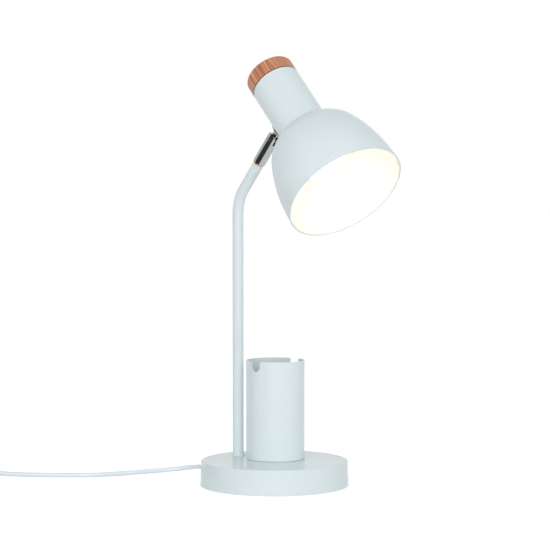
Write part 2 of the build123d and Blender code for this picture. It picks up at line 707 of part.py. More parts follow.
def stud_saddle():
    wall = bar_x(NECK_R - SHADE_WALL - FIT, -SADDLE_R - 1, SADDLE_R + 1, z=NECK_GAP + NECK_R)
    saddle = cylinder(SADDLE_R, NECK_GAP, NECK_GAP + saddle_depth()) & wall
    return TONGUE_FRAME * (saddle - cylinder(THREAD_HOLE_R, 0, NECK_GAP + NECK_R))


def stud_nut():
    foot = NECK_GAP + saddle_depth()
    nut = hex_prism(NUT_FLATS, foot, foot + NUT_T)
    return TONGUE_FRAME * (nut - cylinder(THREAD_HOLE_R, foot - 1, foot + NUT_T + 1))


def shade_curve(wall):
    """Profile of the neck and bell as (radius, height) points and arcs, at a depth in the metal."""
    start = radians(SHOULDER_FROM)
    end = start + radians(SHOULDER_TURN)
    centre = (NECK_R - SHOULDER_R * sin(start), -CREASE_AT + SHOULDER_R * cos(start))
    joint = (centre[0] + SHOULDER_R * sin(end), centre[1] - SHOULDER_R * cos(end))
    chord = dist(joint, (RIM_R, 0))
    flare_r = chord / 2 / sin(atan2(-joint[1], RIM_R - joint[0]) - end)
    flare = (joint[0] - flare_r * sin(end), joint[1] + flare_r * cos(end))
    neck_r = NECK_R - wall
    small = SHOULDER_R - wall
    large = flare_r - wall
    crease = (neck_r, centre[1] - sqrt(small ** 2 - (neck_r - centre[0]) ** 2))
    seam = (centre[0] + small * sin(end), centre[1] - small * cos(end))
    rim = (flare[0] + sqrt(large ** 2 - flare[1] ** 2), 0)

    def middle(hub, radius, first, last):
        angle = (atan2(first[1] - hub[1], first[0] - hub[0])
                 + atan2(last[1] - hub[1], last[0] - hub[0])) / 2
        return (hub[0] + radius * cos(angle), hub[1] + radius * sin(angle))

    shoulder = ThreePointArc(crease, middle(centre, small, crease, seam), seam)
    bell = ThreePointArc(seam, middle(flare, large, seam, rim), rim)
    return crease, shoulder, bell, rim


def lamp_shade():
    crease, shoulder, bell, rim = shade_curve(0)
    crease_in, shoulder_in, bell_in, rim_in = shade_curve(SHADE_WALL)
    back = -SHADE_END_AT
    inner_back = back + SHADE_WALL
    outline = [Polyline((0, inner_back), (0, back), (NECK_R, back), crease), shoulder, bell,
               Line(rim, rim_in), bell_in, shoulder_in,
               Polyline(crease_in, (NECK_R - SHADE_WALL, inner_back), (0, inner_back))]
    shade = revolve(Plane.XZ * make_face(Curve() + outline), Axis.Z)
    shade -= cylinder(THREAD_HOLE_R + FIT, back - 1, inner_back + 1)
    stud_hole = Rot(0, -90, 0) * cylinder(THREAD_HOLE_R + FIT, NECK_R / 2, NECK_R + 1)
    shade -= Pos(0, 0, -STUD_AT) * stud_hole
    for place in cap_screw_places():
        shade -= cylinder(CAP_SCREW_R + FIT, back - 1, inner_back + 1, place)
    return HEAD_FRAME * shade


def cap_screw_places():
    return [(0, side * CAP_SCREW_AT) for side in (-1, 1)]


def wood_cap():
    foot = -SHADE_END_AT
    cap = cylinder(NECK_R, foot - CAP_LEN, foot)
    cap = fillet(cap.edges().group_by(Axis.Z)[0], CAP_ROUND)
    cap = chamfer(cap.edges().group_by(Axis.Z)[-1], CAP_JOINT)
    cap -= cylinder(CAP_RECESS_R, foot - CAP_RECESS_DEPTH, foot + 1)
    for place in cap_screw_places():
        cap -= cylinder(CAP_SCREW_R + FIT, foot - CAP_SCREW_DEPTH - 1, foot + 1, place)
    return HEAD_FRAME * cap


def cap_screws():
    seat = -SHADE_END_AT + SHADE_WALL
    screw = slotted_screw(CAP_SCREW_R, CAP_SCREW_HEAD_R, CAP_SCREW_HEAD_T,
                          SHADE_WALL + CAP_SCREW_DEPTH)
    return HEAD_FRAME * group(Pos(x, y, seat) * screw for x, y in cap_screw_places())


def holder_nipple():
    top = HOLDER_BACK + HOLDER_NIPPLE_IN
    foot = -SHADE_END_AT - NUT_T - NIPPLE_PAST_NUT
    return HEAD_FRAME * tube(NIPPLE_R, NIPPLE_BORE_R, foot, top)


def holder_nut():
    top = -SHADE_END_AT
    nut = hex_prism(NUT_FLATS, top - NUT_T, top)
    return HEAD_FRAME * (nut - cylinder(THREAD_HOLE_R, top - NUT_T - 1, top + 1))


def holder_spacer():
    """Ring nut between the shade's closed end and the lampholder."""
    low = -SHADE_END_AT + SHADE_WALL
    return HEAD_FRAME * tube(SPACER_R, THREAD_HOLE_R, low, HOLDER_BACK)


def holder_cap():
    """Domed rear half of the lampholder, open to the front."""
    low = HOLDER_BACK
    seam = HOLDER_SEAM
    cap = spun((0, low), (HOLDER_BACK_R, low), (HOLDER_R, low + (seam - low) * 0.55),
               (HOLDER_R, seam), (HOLDER_R - HOLDER_WALL, seam),
               (HOLDER_R - HOLDER_WALL, low + (seam - low) * 0.6),
               (HOLDER_BACK_R - HOLDER_WALL, low + HOLDER_NIPPLE_IN),
               (0, low + HOLDER_NIPPLE_IN))
    return HEAD_FRAME * (cap - cylinder(THREAD_HOLE_R, low - 1, seam))


def shell_radius():
    """Outside of the lampholder's contact shell, which the lamp screws into."""
    return LAMP_THREAD_R + FIT + SHELL_WALL


def holder_body():
    """Front half of the lampholder: a floor and a plain skirt round the contact shell."""
    seam = HOLDER_SEAM
    mouth = HOLDER_MOUTH
    bore = shell_radius() + FIT
    body = spun((0, seam), (HOLDER_R, seam), (HOLDER_R, mouth), (HOLDER_R - HOLDER_WALL, mouth),
                (bore, mouth - HOLDER_WALL), (bore, SHELL_FOOT), (0, SHELL_FOOT))
    for step in range(HOLDER_GROOVES):
        low = SHELL_FOOT + (step + 1) * HOLDER_GROOVE_PITCH
        body -= tube(HOLDER_R + 1, HOLDER_R - HOLDER_GROOVE_DEPTH, low, low + HOLDER_GROOVE_W)
    return HEAD_FRAME * body


def threaded(radius, wall, low, high, bulge):
    """Rolled thread drawn as rounded rings: radius is to the crests, the pitch is the lamp's."""
    count = max(1, int((high - low - 1) // THREAD_PITCH))
    first = low + (high - low - (count - 1) * THREAD_PITCH) / 2
    body = tube(radius - bulge, radius - bulge - wall, low, high)
    for turn in range(count):
        z = first + turn * THREAD_PITCH
        quarter = THREAD_PITCH / 4
        outer = spun((radius - bulge - wall / 2, z - 1.6 * quarter), (radius, z - quarter * 0.6),
                     (radius, z + quarter * 0.6), (radius - bulge - wall / 2, z + 1.6 * quarter))
        body += outer
    return body


def contact_shell():
    outer = shell_radius()
    return HEAD_FRAME * tube(outer, outer - SHELL_WALL, SHELL_FOOT, SHELL_FOOT + SHELL_LEN)


def centre_contact():
    """Springy strip on the lampholder's floor, doubled back under the lamp's centre contact."""
    floor = SHELL_FOOT
    half = SPRING_W / 2
    reach = LAMP_THREAD_R - 2
    strip = block(-reach, half, -half, half, floor, floor + SPRING_T)
    strip += block(-half, half, -half, half, floor + SPRING_T - 0.01, floor + 2 * SPRING_T)
    return HEAD_FRAME * fillet(strip.edges().filter_by(Axis.Z), half * 0.3)


def bulb_cap():
    """Threaded cap of the lamp, with its insulated end and centre contact."""
    low = LAMP_CAP_FOOT
    edge = low + LAMP_CONE_LEN
    cap = threaded(LAMP_THREAD_R, LAMP_CAP_WALL, edge, BULB_FOOT, THREAD_DEPTH)
    end = LAMP_THREAD_R - THREAD_DEPTH
    cap += spun((0, low - 0.01), (LAMP_CONTACT_R + 1, low), (end, edge), (end - 0.5, edge + 1),
                (0, edge + 1))
    cap += cylinder(LAMP_CONTACT_R, low - LAMP_CONTACT_T, low)
    return HEAD_FRAME * cap


def bulb_body():
    """Hollow cone of the lamp, from its cap to the dome."""
    low = BULB_FOOT
    top = BULB_TOP
    foot = low - BULB_IN_CAP
    seat = LAMP_THREAD_R - THREAD_DEPTH - LAMP_CAP_WALL - FIT
    neck = seat + BULB_NECK_STEP
    inner = seat - BULB_WALL
    outer = [Line((seat, foot), (seat, low)), Line((seat, low), (neck, low)),
             Spline((neck, low), (BULB_R, top), tangents=[(0.15, 1), (0.12, 1)]),
             Line((BULB_R, top), (BULB_R - BULB_WALL, top)),
             Spline((BULB_R - BULB_WALL, top), (inner, low), tangents=[(-0.12, -1), (-0.15, -1)]),
             Line((inner, low), (inner, foot)),
             Line((inner, foot), (seat, foot))]
    return HEAD_FRAME * revolve(Plane.XZ * make_face(Curve() + outer), Axis.Z)


def bulb_dome():
    """Opal front of the lamp: a short upright skirt and half an ellipse, hollow."""
    def half_ellipse(radius, height):
        return [(radius * cos(t * pi / 16), BULB_TOP + height * sin(t * pi / 16)) for t in range(9)]

    outer = half_ellipse(BULB_R, BULB_DOME_LEN)
    inner = half_ellipse(BULB_R - BULB_WALL, BULB_DOME_LEN - BULB_WALL)
    edges = [Spline(*outer, tangents=[(0, 1), (-1, 0)]), Line(outer[-1], inner[-1]),
             Spline(*inner[::-1], tangents=[(1, 0), (0, -1)]), Line(inner[0], outer[0])]
    return HEAD_FRAME * revolve(Plane.XZ * make_face(Curve() + edges), Axis.Z)


def led_board():
    """Board across the lamp where cone and dome meet, with its chips, on a post from the cap."""
    low = BULB_TOP - LED_BOARD_T
    board = cylinder(LED_BOARD_R, low, low + LED_BOARD_T)
    half = LED_SIZE / 2
    for index in range(LED_COUNT):
        chip = block(LED_RING_R - half, LED_RING_R + half, -half, half,
                     low + LED_BOARD_T - 0.01, low + LED_BOARD_T + 0.8)
        board += Rot(0, 0, 360 * index / LED_COUNT) * chip
    board += cylinder(LED_POST_R, LAMP_CAP_FOOT + LAMP_CONE_LEN + 1, low + 0.01)
    return HEAD_FRAME * board


def corner_radii(route):
    """An arc for each corner, 0.45 of its shorter run over the tangent of half the turn."""
    radii = []
    for before, here, after in zip(route, route[1:], route[2:]):
        first = Vector(here) - Vector(before)
        second = Vector(after) - Vector(here)
        half_turn = radians(first.get_angle(second)) / 2
        radii.append(0.45 * min(first.length, second.length) / tan(half_turn))
    return radii


def cord_along(name, route):
    """Round cord on straight runs and tangent arcs."""
    radii = corner_radii(route)
    line = FilletPolyline(*route, radius=radii)
    solid = swept(Circle(CORD_R), line)
    share = solid.volume / (pi * CORD_R ** 2 * line.length)
    print(f"{name}: {line.length:.1f} mm, least radius {min(radii):.1f} mm, volume share {share:.4f}")
    return solid, line


def coil_point(turn):
    """Centre of the cord after a turn in radians: in, up a layer in half a turn, and out again."""
    down = COIL_TURNS_DOWN * 2 * pi
    rate = COIL_STEP / (2 * pi)
    low = CORD_R + COIL_LIFT
    if turn <= down:
        radius = COIL_IN_R + rate * (down - turn)
        height = low
    elif turn <= down + pi:
        over = turn - down
        radius = COIL_IN_R - rate * (over - over ** 2 / pi)
        height = low + COIL_LAYER * (over / pi - sin(2 * over) / (2 * pi))
    else:
        radius = COIL_IN_R + rate * (turn - down - pi)
        height = low + COIL_LAYER
    angle = turn + radians(COIL_START)
    return Vector(COIL_X + radius * cos(angle), COIL_Y + radius * sin(angle), height)


COIL_END = (COIL_TURNS_DOWN + 0.5 + COIL_TURNS_UP) * 2 * pi


def coil_heading(turn):
    """Direction of the cord there, level at both ends of the coil."""
    step = 1e-4
    first = max(0, turn - step)
    last = min(COIL_END, turn + step)
    return (coil_point(last) - coil_point(first)).normalized()


def biarc(start, start_way, end, end_way):
    """Two arcs, tangent to each other and to a direction at each end."""
    span = end - start
    both = start_way + end_way
    open_part = 2 * (1 - start_way.dot(end_way))
    across = span.dot(both)
    reach = (-across + sqrt(across ** 2 + open_part * span.dot(span))) / open_part
    first_corner = start + start_way * reach
    second_corner = end - end_way * reach
    meet = (first_corner + second_corner) * 0.5
    return [corner_arc(start, first_corner, meet), corner_arc(meet, second_corner, end)]


def corner_arc(start, corner, end):
    """Arc that touches both sides of a corner."""
    middle = (start + end) * 0.5
    rise = corner - middle
    half_chord = (end - start).length / 2
    half_turn = atan2(rise.length, half_chord)
    top = middle + rise.normalized() * (half_chord * tan(half_turn / 2))
    return ThreePointArc(start, top, end)


def coil_line():
    """The whole coil as one line: a straight end, a biarc for each quarter turn, a straight end."""
    count = ceil(COIL_END / (pi / 2))
    turns = [COIL_END * index / count for index in range(count + 1)]
    start, end = coil_point(0), coil_point(COIL_END)
    edges = [Line(start - coil_heading(0) * COIL_TAIL, start)]
    for first, last in zip(turns, turns[1:]):
        edges += biarc(coil_point(first), coil_heading(first), coil_point(last), coil_heading(last))
    edges.append(Line(end, end + coil_heading(COIL_END) * COIL_TAIL))
    return Wire([edge if isinstance(edge, Edge) else edge.edge() for edge in edges])


def coil_gap():
    """Least distance between the surfaces of two turns, measured on points along the coil."""
    steps_per_turn = 120
    count = int(COIL_END / (2 * pi) * steps_per_turn)
    points = [coil_point(COIL_END * index / count) for index in range(count + 1)]
    least = 1e9
    for index, point in enumerate(points):
        for other in points[index + steps_per_turn // 2:]:
            least = min(least, (point - other).length)
    return least - 2 * CORD_R


def cord_coil():
    line = coil_line()
    section = Plane(origin=line @ 0, z_dir=line % 0) * Circle(CORD_R)
    solid = sweep(section, path=line)
    share = solid.volume / (pi * CORD_R ** 2 * line.length)
    print(f"cord_coil: {line.length:.1f} mm, least gap {coil_gap():.2f} mm, volume share {share:.4f}")
    return solid, line


def cord_tie():
    """Flat band round all the turns of the coil at one place."""
    angle = radians(TIE_ANGLE)
    radii = []
    heights = []
    steps = 720
    for index in range(steps + 1):
        turn = COIL_END * index / steps
        off = (turn + radians(COIL_START) - angle + pi) % (2 * pi) - pi
        if abs(off) < TIE_W / COIL_IN_R / 2:
            point = coil_point(turn)
            radii.append(hypot(point.X - COIL_X, point.Y - COIL_Y))
            heights.append(point.Z)
    inner = min(radii) - CORD_R - TIE_ROOM
    outer = max(radii) + CORD_R + TIE_ROOM
    top = max(heights) + CORD_R + TIE_ROOM
    half = TIE_W / 2
    band = block(inner - TIE_T, outer + TIE_T, -half, half, 0, top + TIE_T)
    band = fillet(band.edges().filter_by(Axis.Y), TIE_ROUND)
    hole = block(inner, outer, -half - 1, half + 1, TIE_T, top)
    hole = fillet(hole.edges().filter_by(Axis.Y), TIE_ROUND - TIE_T)
    return Pos(COIL_X, COIL_Y, 0) * Rot(0, 0, TIE_ANGLE) * (band - hole)


def plug_way():
    return coil_heading(COIL_END)


def plug_route():
    """From the coil's end level, gently down and level again at the height of the plug's middle."""
    way = plug_way()
    here = coil_point(COIL_END) + way * COIL_TAIL
    first = here + way * PLUG_DROP[0]
    second = first + way * PLUG_DROP[1]
    third = second + way * PLUG_DROP[2]
    low = PLUG_T / 2
    return [here, first, Vector(second.X, second.Y, low), Vector(third.X, third.Y, low)]


def plug_frame():
    tip = plug_route()[-1]
    return Plane(origin=tip, x_dir=plug_way(), z_dir=(0, 0, 1)).location


def plug_relief():
    taper = Rot(0, 90, 0) * spun((0, 0), (RELIEF_TIP_R, 0), (PLUG_RELIEF_ROOT_R, PLUG_RELIEF_L),
                                 (0, PLUG_RELIEF_L))
    for index in range(PLUG_RELIEF_GROOVES):
        at = PLUG_RELIEF_L * (0.25 + 0.68 * index / PLUG_RELIEF_GROOVES)
        wide = RELIEF_TIP_R + (PLUG_RELIEF_ROOT_R - RELIEF_TIP_R) * at / PLUG_RELIEF_L
        taper -= bar_x(PLUG_RELIEF_ROOT_R + 1, at, at + 1.2) - bar_x(wide - 0.6, at - 1, at + 3)
    return plug_frame() * taper


def plug_body():
    rear = PLUG_RELIEF_L
    front = rear + PLUG_L
    waist = rear + PLUG_L * 0.45
    outline = Polygon((rear, -PLUG_REAR_W / 2), (waist, -PLUG_W / 2), (front, -PLUG_W / 2),
                      (front, PLUG_W / 2), (waist, PLUG_W / 2), (rear, PLUG_REAR_W / 2), align=None)
    body = Pos(0, 0, -PLUG_T / 2) * extrude(outline, amount=PLUG_T)
    body = fillet(body.edges().filter_by(Axis.Z), PLUG_ROUND)
    body = fillet(body.edges().group_by(Axis.Z)[-1], PLUG_ROUND * 0.6)
    body = fillet(body.edges().group_by(Axis.Z)[0], PLUG_ROUND * 0.4)
    for side in (-1, 1):
        body -= bar_x(PIN_R + FIT, front - PIN_IN - FIT, front + 1, y=side * PIN_PITCH / 2)
    return plug_frame() * body


def plug_pins():
    front = PLUG_RELIEF_L + PLUG_L
    pins = []
    for side in (-1, 1):
        pin = bar_x(PIN_R, front - PIN_IN, front + PIN_OUT, y=side * PIN_PITCH / 2)
        pins.append(fillet(pin.edges().group_by(Axis.X)[-1], PIN_R * 0.6))
    return plug_frame() * group(pins)


def switch_frame():
    """On the table, midway between the two cords' points of entry, X along the cord."""
    enter = Vector(LEAD_ROUTE[-1])
    leave = Vector(RUN_ROUTE[0])
    middle = (enter + leave) * 0.5
    way = Vector(leave.X - enter.X, leave.Y - enter.Y, 0)
    return Plane(origin=(middle.X, middle.Y, 0), x_dir=way, z_dir=(0, 0, 1)).location


def switch_outline(inset):
    half_l = SWITCH_L / 2 - inset
    return RectangleRounded(2 * half_l, SWITCH_W - 2 * inset, SWITCH_CORNER_R - inset)


def switch_screw_places():
    return [(SWITCH_SCREW_X, -SWITCH_SCREW_Y), (-SWITCH_SCREW_X, SWITCH_SCREW_Y)]


def switch_base():
    base = extrude(switch_outline(0), amount=SWITCH_SEAM)
    base = fillet(base.edges().group_by(Axis.Z)[0], SWITCH_FOOT_R)
    base -= Pos(0, 0, SWITCH_WALL) * extrude(switch_outline(SWITCH_WALL), amount=SWITCH_SEAM)
    for place in switch_screw_places():
        base += cylinder(SWITCH_BOSS_R, 0, SWITCH_SEAM, place)
        base -= cylinder(SWITCH_SCREW_R + FIT, -1, SWITCH_SEAM + 1, place)
        base -= cylinder(SWITCH_SCREW_HEAD_R + LOOSE, -1, SWITCH_SCREW_SINK, place)
    return switch_frame() * (base - cord_hole())


def cord_hole():
    """Round way for the cord through both ends of the switch, half in each shell."""
    return bar_x(CORD_R + FIT, -SWITCH_L, SWITCH_L, z=SWITCH_SEAM)


def switch_cover():
    cover = Pos(0, 0, SWITCH_SEAM) * extrude(switch_outline(0), amount=SWITCH_H - SWITCH_SEAM)
    cover = fillet(cover.edges().group_by(Axis.Z)[-1], SWITCH_EDGE_R)
    room = SWITCH_H - SWITCH_WALL
    cover -= Pos(0, 0, SWITCH_SEAM - 1) * extrude(switch_outline(SWITCH_WALL),
                                                  amount=room - SWITCH_SEAM + 1)
    ear_from = ROCKER_W / 2 + LOOSE
    for side in (-1, 1):
        y0, y1 = sorted((side * ear_from, side * (ear_from + EAR_T)))
        cover += block(-EAR_W / 2, EAR_W / 2, y0, y1, ROCKER_AXLE_Z - ROCKER_BELOW, room + 0.01)
    cover -= block(-ROCKER_R - LOOSE, ROCKER_R + LOOSE, -ear_from, ear_from, room - 1, SWITCH_H + 1)
    cover -= bar_y(ROCKER_AXLE_R + FIT, -AXLE_L, AXLE_L, z=ROCKER_AXLE_Z) & block(
        -EAR_W, EAR_W, -ear_from - EAR_T, ear_from + EAR_T, 0, SWITCH_H)
    for place in switch_screw_places():
        cover += cylinder(SWITCH_BOSS_R, SWITCH_SEAM, room + 0.01, place)
        cover -= cylinder(SWITCH_SCREW_R + FIT, SWITCH_SEAM - 1,
                          SWITCH_SCREW_SINK + SWITCH_SCREW_LEN + 1, place)
    return switch_frame() * (cover - cord_hole())


def switch_rocker():
    """Rocker with two slanted faces, stored with its -X end pressed."""
    half = ROCKER_W / 2
    slant = radians(ROCKER_SLANT)
    valley = SWITCH_H - ROCKER_AXLE_Z
    rise = ROCKER_R * tan(slant)
    drum = bar_y(ROCKER_R, -half, half)
    faces = Polygon((-ROCKER_R, -ROCKER_BELOW), (ROCKER_R, -ROCKER_BELOW), (ROCKER_R, valley + rise),
                    (0, valley), (-ROCKER_R, valley + rise), align=None)
    wedge = extrude(Plane.XZ * faces, amount=half, both=True)
    rocker = (drum & wedge) - bar_y(ROCKER_AXLE_R + RUN, -half - 1, half + 1)
    return switch_frame() * Pos(0, 0, ROCKER_AXLE_Z) * Rot(0, -ROCKER_SLANT, 0) * rocker


def rocker_axle():
    half = ROCKER_W / 2 + LOOSE + EAR_T - FIT
    return switch_frame() * bar_y(ROCKER_AXLE_R, -half, half, z=ROCKER_AXLE_Z)


def switch_contacts():
    """Two brass angles on the switch's floor, one under each end of the rocker."""
    contacts = []
    half = CONTACT_W / 2
    floor = SWITCH_WALL
    for side in (-1, 1):
        near, far = side * CONTACT_AT, side * (CONTACT_AT + CONTACT_L)
        x0, x1 = sorted((near, far))
        upright = sorted((near, near + side * CONTACT_T))
        angle = block(x0, x1, -half, half, floor, floor + CONTACT_T)
        angle += block(upright[0], upright[1], -half, half, floor, floor + CONTACT_UP)
        contacts.append(angle)
    return switch_frame() * group(contacts)


def switch_screws():
    screw = slotted_screw(SWITCH_SCREW_R, SWITCH_SCREW_HEAD_R, SWITCH_SCREW_HEAD_T,
                          SWITCH_SCREW_LEN, down=False)
    return switch_frame() * group(Pos(x, y, SWITCH_SCREW_SINK) * screw
                                  for x, y in switch_screw_places())


lead, lead_line = cord_along("cord_lead", LEAD_ROUTE)
run, run_line = cord_along("cord_run", RUN_ROUTE)
coil, coil_path = cord_coil()
drop, drop_line = cord_along("cord_end", [tuple(point) for point in plug_route()])
total = lead_line.length + run_line.length + coil_path.length + drop_line.length
print(f"cord in all, with the switch: {total + SWITCH_L - 2 * CORD_IN_SWITCH:.0f} mm")

NODES = {
    "base_cover": base_cover(),
    "base_weight": base_weight(),
    "base_plate": base_plate(),
    "foot_pad": foot_pad(),
    "plate_screws": plate_screws(),
    "foot_nipple": foot_nipple(),
    "foot_washer": foot_washer(),
    "foot_nut": foot_nut(),
    "arm_collar": arm_collar(),
    "arm_tube": arm_tube(),
    "inner_cord": inner_cord(),
    "cord_strain_relief": cord_strain_relief(),
    "cord_clamp": cord_clamp(),
    "clamp_screws": clamp_screws(),
    "pen_cup": pen_cup(),
    "cup_washers": cup_washers(),
    "cup_screws": cup_screws(),
    "swivel_spindle": swivel_spindle(),
    "brass_ring": brass_ring(),
    "swivel_keeper": swivel_keeper(),
    "swivel_sleeve": swivel_sleeve(),
    "sleeve_bush": sleeve_bush(),
    "stop_pin": stop_pin(),
    "friction_discs": friction_discs(),
    "pivot_screw": pivot_screw(),
    "swivel_tongue": swivel_tongue(),
    "stud_saddle": stud_saddle(),
    "stud_nut": stud_nut(),
    "lamp_shade": lamp_shade(),
    "wood_cap": wood_cap(),
    "cap_screws": cap_screws(),
    "holder_nipple": holder_nipple(),
    "holder_nut": holder_nut(),
    "holder_spacer": holder_spacer(),
    "holder_cap": holder_cap(),
    "holder_body": holder_body(),
    "contact_shell": contact_shell(),
    "centre_contact": centre_contact(),
    "bulb_cap": bulb_cap(),
    "bulb_body": bulb_body(),
    "bulb_dome": bulb_dome(),
    "led_board": led_board(),
    "cord_lead": lead,
    "cord_run": run,
    "cord_coil": coil,
    "cord_end": drop,
    "cord_tie": cord_tie(),
    "switch_base": switch_base(),
    "switch_cover": switch_cover(),
    "switch_rocker": switch_rocker(),
    "rocker_axle": rocker_axle(),
    "switch_contacts": switch_contacts(),
    "switch_screws": switch_screws(),
    "plug_relief": plug_relief(),
    "plug_body": plug_body(),
    "plug_pins": plug_pins(),
}

print("tilt pin", [round(value, 3) for value in PIVOT], "way up the arm", [round(v, 5) for v in LEAN])
sleeve_side = Plane(SLEEVE_FRAME).y_dir
print("tilt axis", [round(value, 5) for value in sleeve_side])
print("shade mouth", [round(value, 3) for value in Plane(HEAD_FRAME).origin],
      "facing", [round(value, 5) for value in Plane(HEAD_FRAME).z_dir])
print("rocker axle", [round(v, 3) for v in (switch_frame() * Pos(0, 0, ROCKER_AXLE_Z)).position],
      "along", [round(v, 5) for v in Plane(switch_frame()).y_dir])

os.makedirs("parts", exist_ok=True)
for name, shape in NODES.items():
    export_step(shape, f"parts/{name}.step")
print(len(NODES), "nodes written")
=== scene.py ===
# %% [markdown]
# # A desk lamp with a pen cup
# The lamp's solids are already measured and packed, so this lesson dresses them: it sets the camera,
# lays the cord, models the small pieces that give the lamp its finish, and mixes a material for every
# surface. Each step says what the real piece is and why it is made this way.

import bpy
from math import atan2, cos, pi, radians, sin, tau
from mathutils import Matrix, Vector


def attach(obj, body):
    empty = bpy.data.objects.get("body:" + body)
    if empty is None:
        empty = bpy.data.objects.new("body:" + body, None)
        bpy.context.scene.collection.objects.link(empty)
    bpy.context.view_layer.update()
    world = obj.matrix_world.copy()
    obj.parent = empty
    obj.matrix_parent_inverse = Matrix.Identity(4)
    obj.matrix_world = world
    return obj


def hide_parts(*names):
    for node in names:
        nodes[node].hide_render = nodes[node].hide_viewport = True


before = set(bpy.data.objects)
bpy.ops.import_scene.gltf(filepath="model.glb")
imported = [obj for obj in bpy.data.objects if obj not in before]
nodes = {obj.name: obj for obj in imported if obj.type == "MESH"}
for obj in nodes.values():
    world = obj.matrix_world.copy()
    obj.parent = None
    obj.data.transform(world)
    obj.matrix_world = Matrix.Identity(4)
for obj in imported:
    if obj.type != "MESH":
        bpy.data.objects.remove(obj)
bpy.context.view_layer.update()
MM = 0.001

# %% [markdown]
# ## The camera
# The photograph was taken from a little above the middle of the lamp with a long lens, which keeps
# upright lines parallel. The arm leans away to the right, so the camera stands 43 degrees round from
# the side of the arm's plane.

# %% Set the camera
VIEW_TURN = 43.0
VIEW_DOWN = 2.8
CAMERA_PLACE = (1.4517, -1.5560, 0.3306)
LENS = 130.03
SENSOR = 36.0
camera_data = bpy.data.cameras.new("camera")
camera_data.sensor_width = SENSOR
camera_data.lens = LENS
camera_data.clip_end = 20.0
camera = bpy.data.objects.new("camera", camera_data)
camera.location = CAMERA_PLACE
camera.rotation_euler = (radians(90 - VIEW_DOWN), 0, radians(VIEW_TURN))
bpy.context.scene.collection.objects.link(camera)
bpy.context.scene.camera = camera
print("camera", [round(value, 3) for value in camera.location])

# %% [markdown]
# ## The cord
# A mains cord is a fixed length of soft round cable. It leaves the base through a tapered relief, drops
# to the table, wanders to the left and out of the picture to an inline switch, and the rest of its
# 1.8 metres is wound in a coil with a tie, with the plug beside it. A NURBS spline is the right curve
# for it: it never kinks, and its control points are the same route that the solids follow. The order
# and the end points are set after the points are added, or they don't take hold. Each point carries
# the cord's radius, and the curve's bevel of 1 only says that this radius is meant in full.

# %% Make a helper that draws a cord
CORD_R = 2.5 * MM


def cord_curve(name, points):
    """A round cord along one smooth spline, with points in millimetres."""
    data = bpy.data.curves.new(name, "CURVE")
    data.dimensions = "3D"
    data.bevel_depth = 1.0
    data.bevel_resolution = 5
    data.resolution_u = 5
    data.use_fill_caps = True
    spline = data.splines.new("NURBS")
    spline.points.add(len(points) - 1)
    for knot, point in zip(spline.points, points):
        knot.co = (point[0] * MM, point[1] * MM, point[2] * MM, 1)
        knot.radius = CORD_R
    spline.order_u = 3
    spline.use_endpoint_u = True
    cord = bpy.data.objects.new(name, data)
    bpy.context.scene.collection.objects.link(cord)
    return cord


# %% Lay the first stretch, from the base to the switch
LEAD_ROUTE = (
    (-99.94, 0.0, 9.0),
    (-112.8, 0.0, 9.0),
    (-127.7, -1.5, 6.6),
    (-142.8, -8.8, 4.0),
    (-155.0, -21.5, 2.6),
    (-162.7, -45.7, 2.5),
    (-170.8, -69.0, 2.5),
    (-180.8, -90.6, 2.5),
    (-194.8, -107.8, 2.5),
    (-211.0, -122.9, 2.5),
    (-228.3, -137.0, 2.5),
    (-247.2, -149.8, 2.5),
    (-262.1, -162.4, 3.5),
    (-270.16, -169.89, 5.0),
    (-276.74, -176.03, 5.0),
)
lead = cord_curve("cord_to_switch", LEAD_ROUTE)
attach(lead, "stand")
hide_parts("cord_lead")
print("first stretch", len(LEAD_ROUTE), "points")

# %% [markdown]
# ## The coil
# The length that nobody needs is wound as for storage: turns that spiral in on the table, climb one
# layer in half a turn, and spiral out again on top. A quadratic spline cuts inside its corners, so
# the control points stand a little outside the turns, by the ratio that makes the curve touch them.

# %% Work out the coil
COIL_CENTRE = (-225.1, -257.8)
COIL_IN_R = 20.5
COIL_STEP = 5.6
COIL_LAYER = 5.5
COIL_LOW = 3.4
TURNS_IN = 3.25
TURNS_CLIMB = 0.5
TURNS_OUT = 3.29
COIL_DOWN = TURNS_IN * tau
COIL_END = (TURNS_IN + TURNS_CLIMB + TURNS_OUT) * tau
COIL_START = radians(251.0)
POINTS_PER_TURN = 14


def coil_point(turn, outward=1.0):
    """Middle of the cord after a turn in radians, pushed outward by a ratio."""
    rate = COIL_STEP / tau
    if turn <= COIL_DOWN:
        radius, height = COIL_IN_R + rate * (COIL_DOWN - turn), COIL_LOW
    elif turn <= COIL_DOWN + pi:
        over = turn - COIL_DOWN
        radius = COIL_IN_R - rate * (over - over ** 2 / pi)
        height = COIL_LOW + COIL_LAYER * (over / pi - sin(2 * over) / tau)
    else:
        radius, height = COIL_IN_R + rate * (turn - COIL_DOWN - pi), COIL_LOW + COIL_LAYER
    angle = turn + COIL_START
    return Vector((COIL_CENTRE[0] + radius * outward * cos(angle),
                   COIL_CENTRE[1] + radius * outward * sin(angle), height))


coil_count = round(COIL_END / tau * POINTS_PER_TURN)
coil_step = COIL_END / coil_count
coil_turns = [coil_point(coil_step * (index + 0.5), 1 / cos(coil_step / 2))
              for index in range(coil_count)]
just_before_end = coil_point(COIL_END - 1e-3)
coil_way = (coil_point(COIL_END) - just_before_end).normalized()
print("coil", coil_count, "points, leaves towards", [round(value, 3) for value in coil_way])

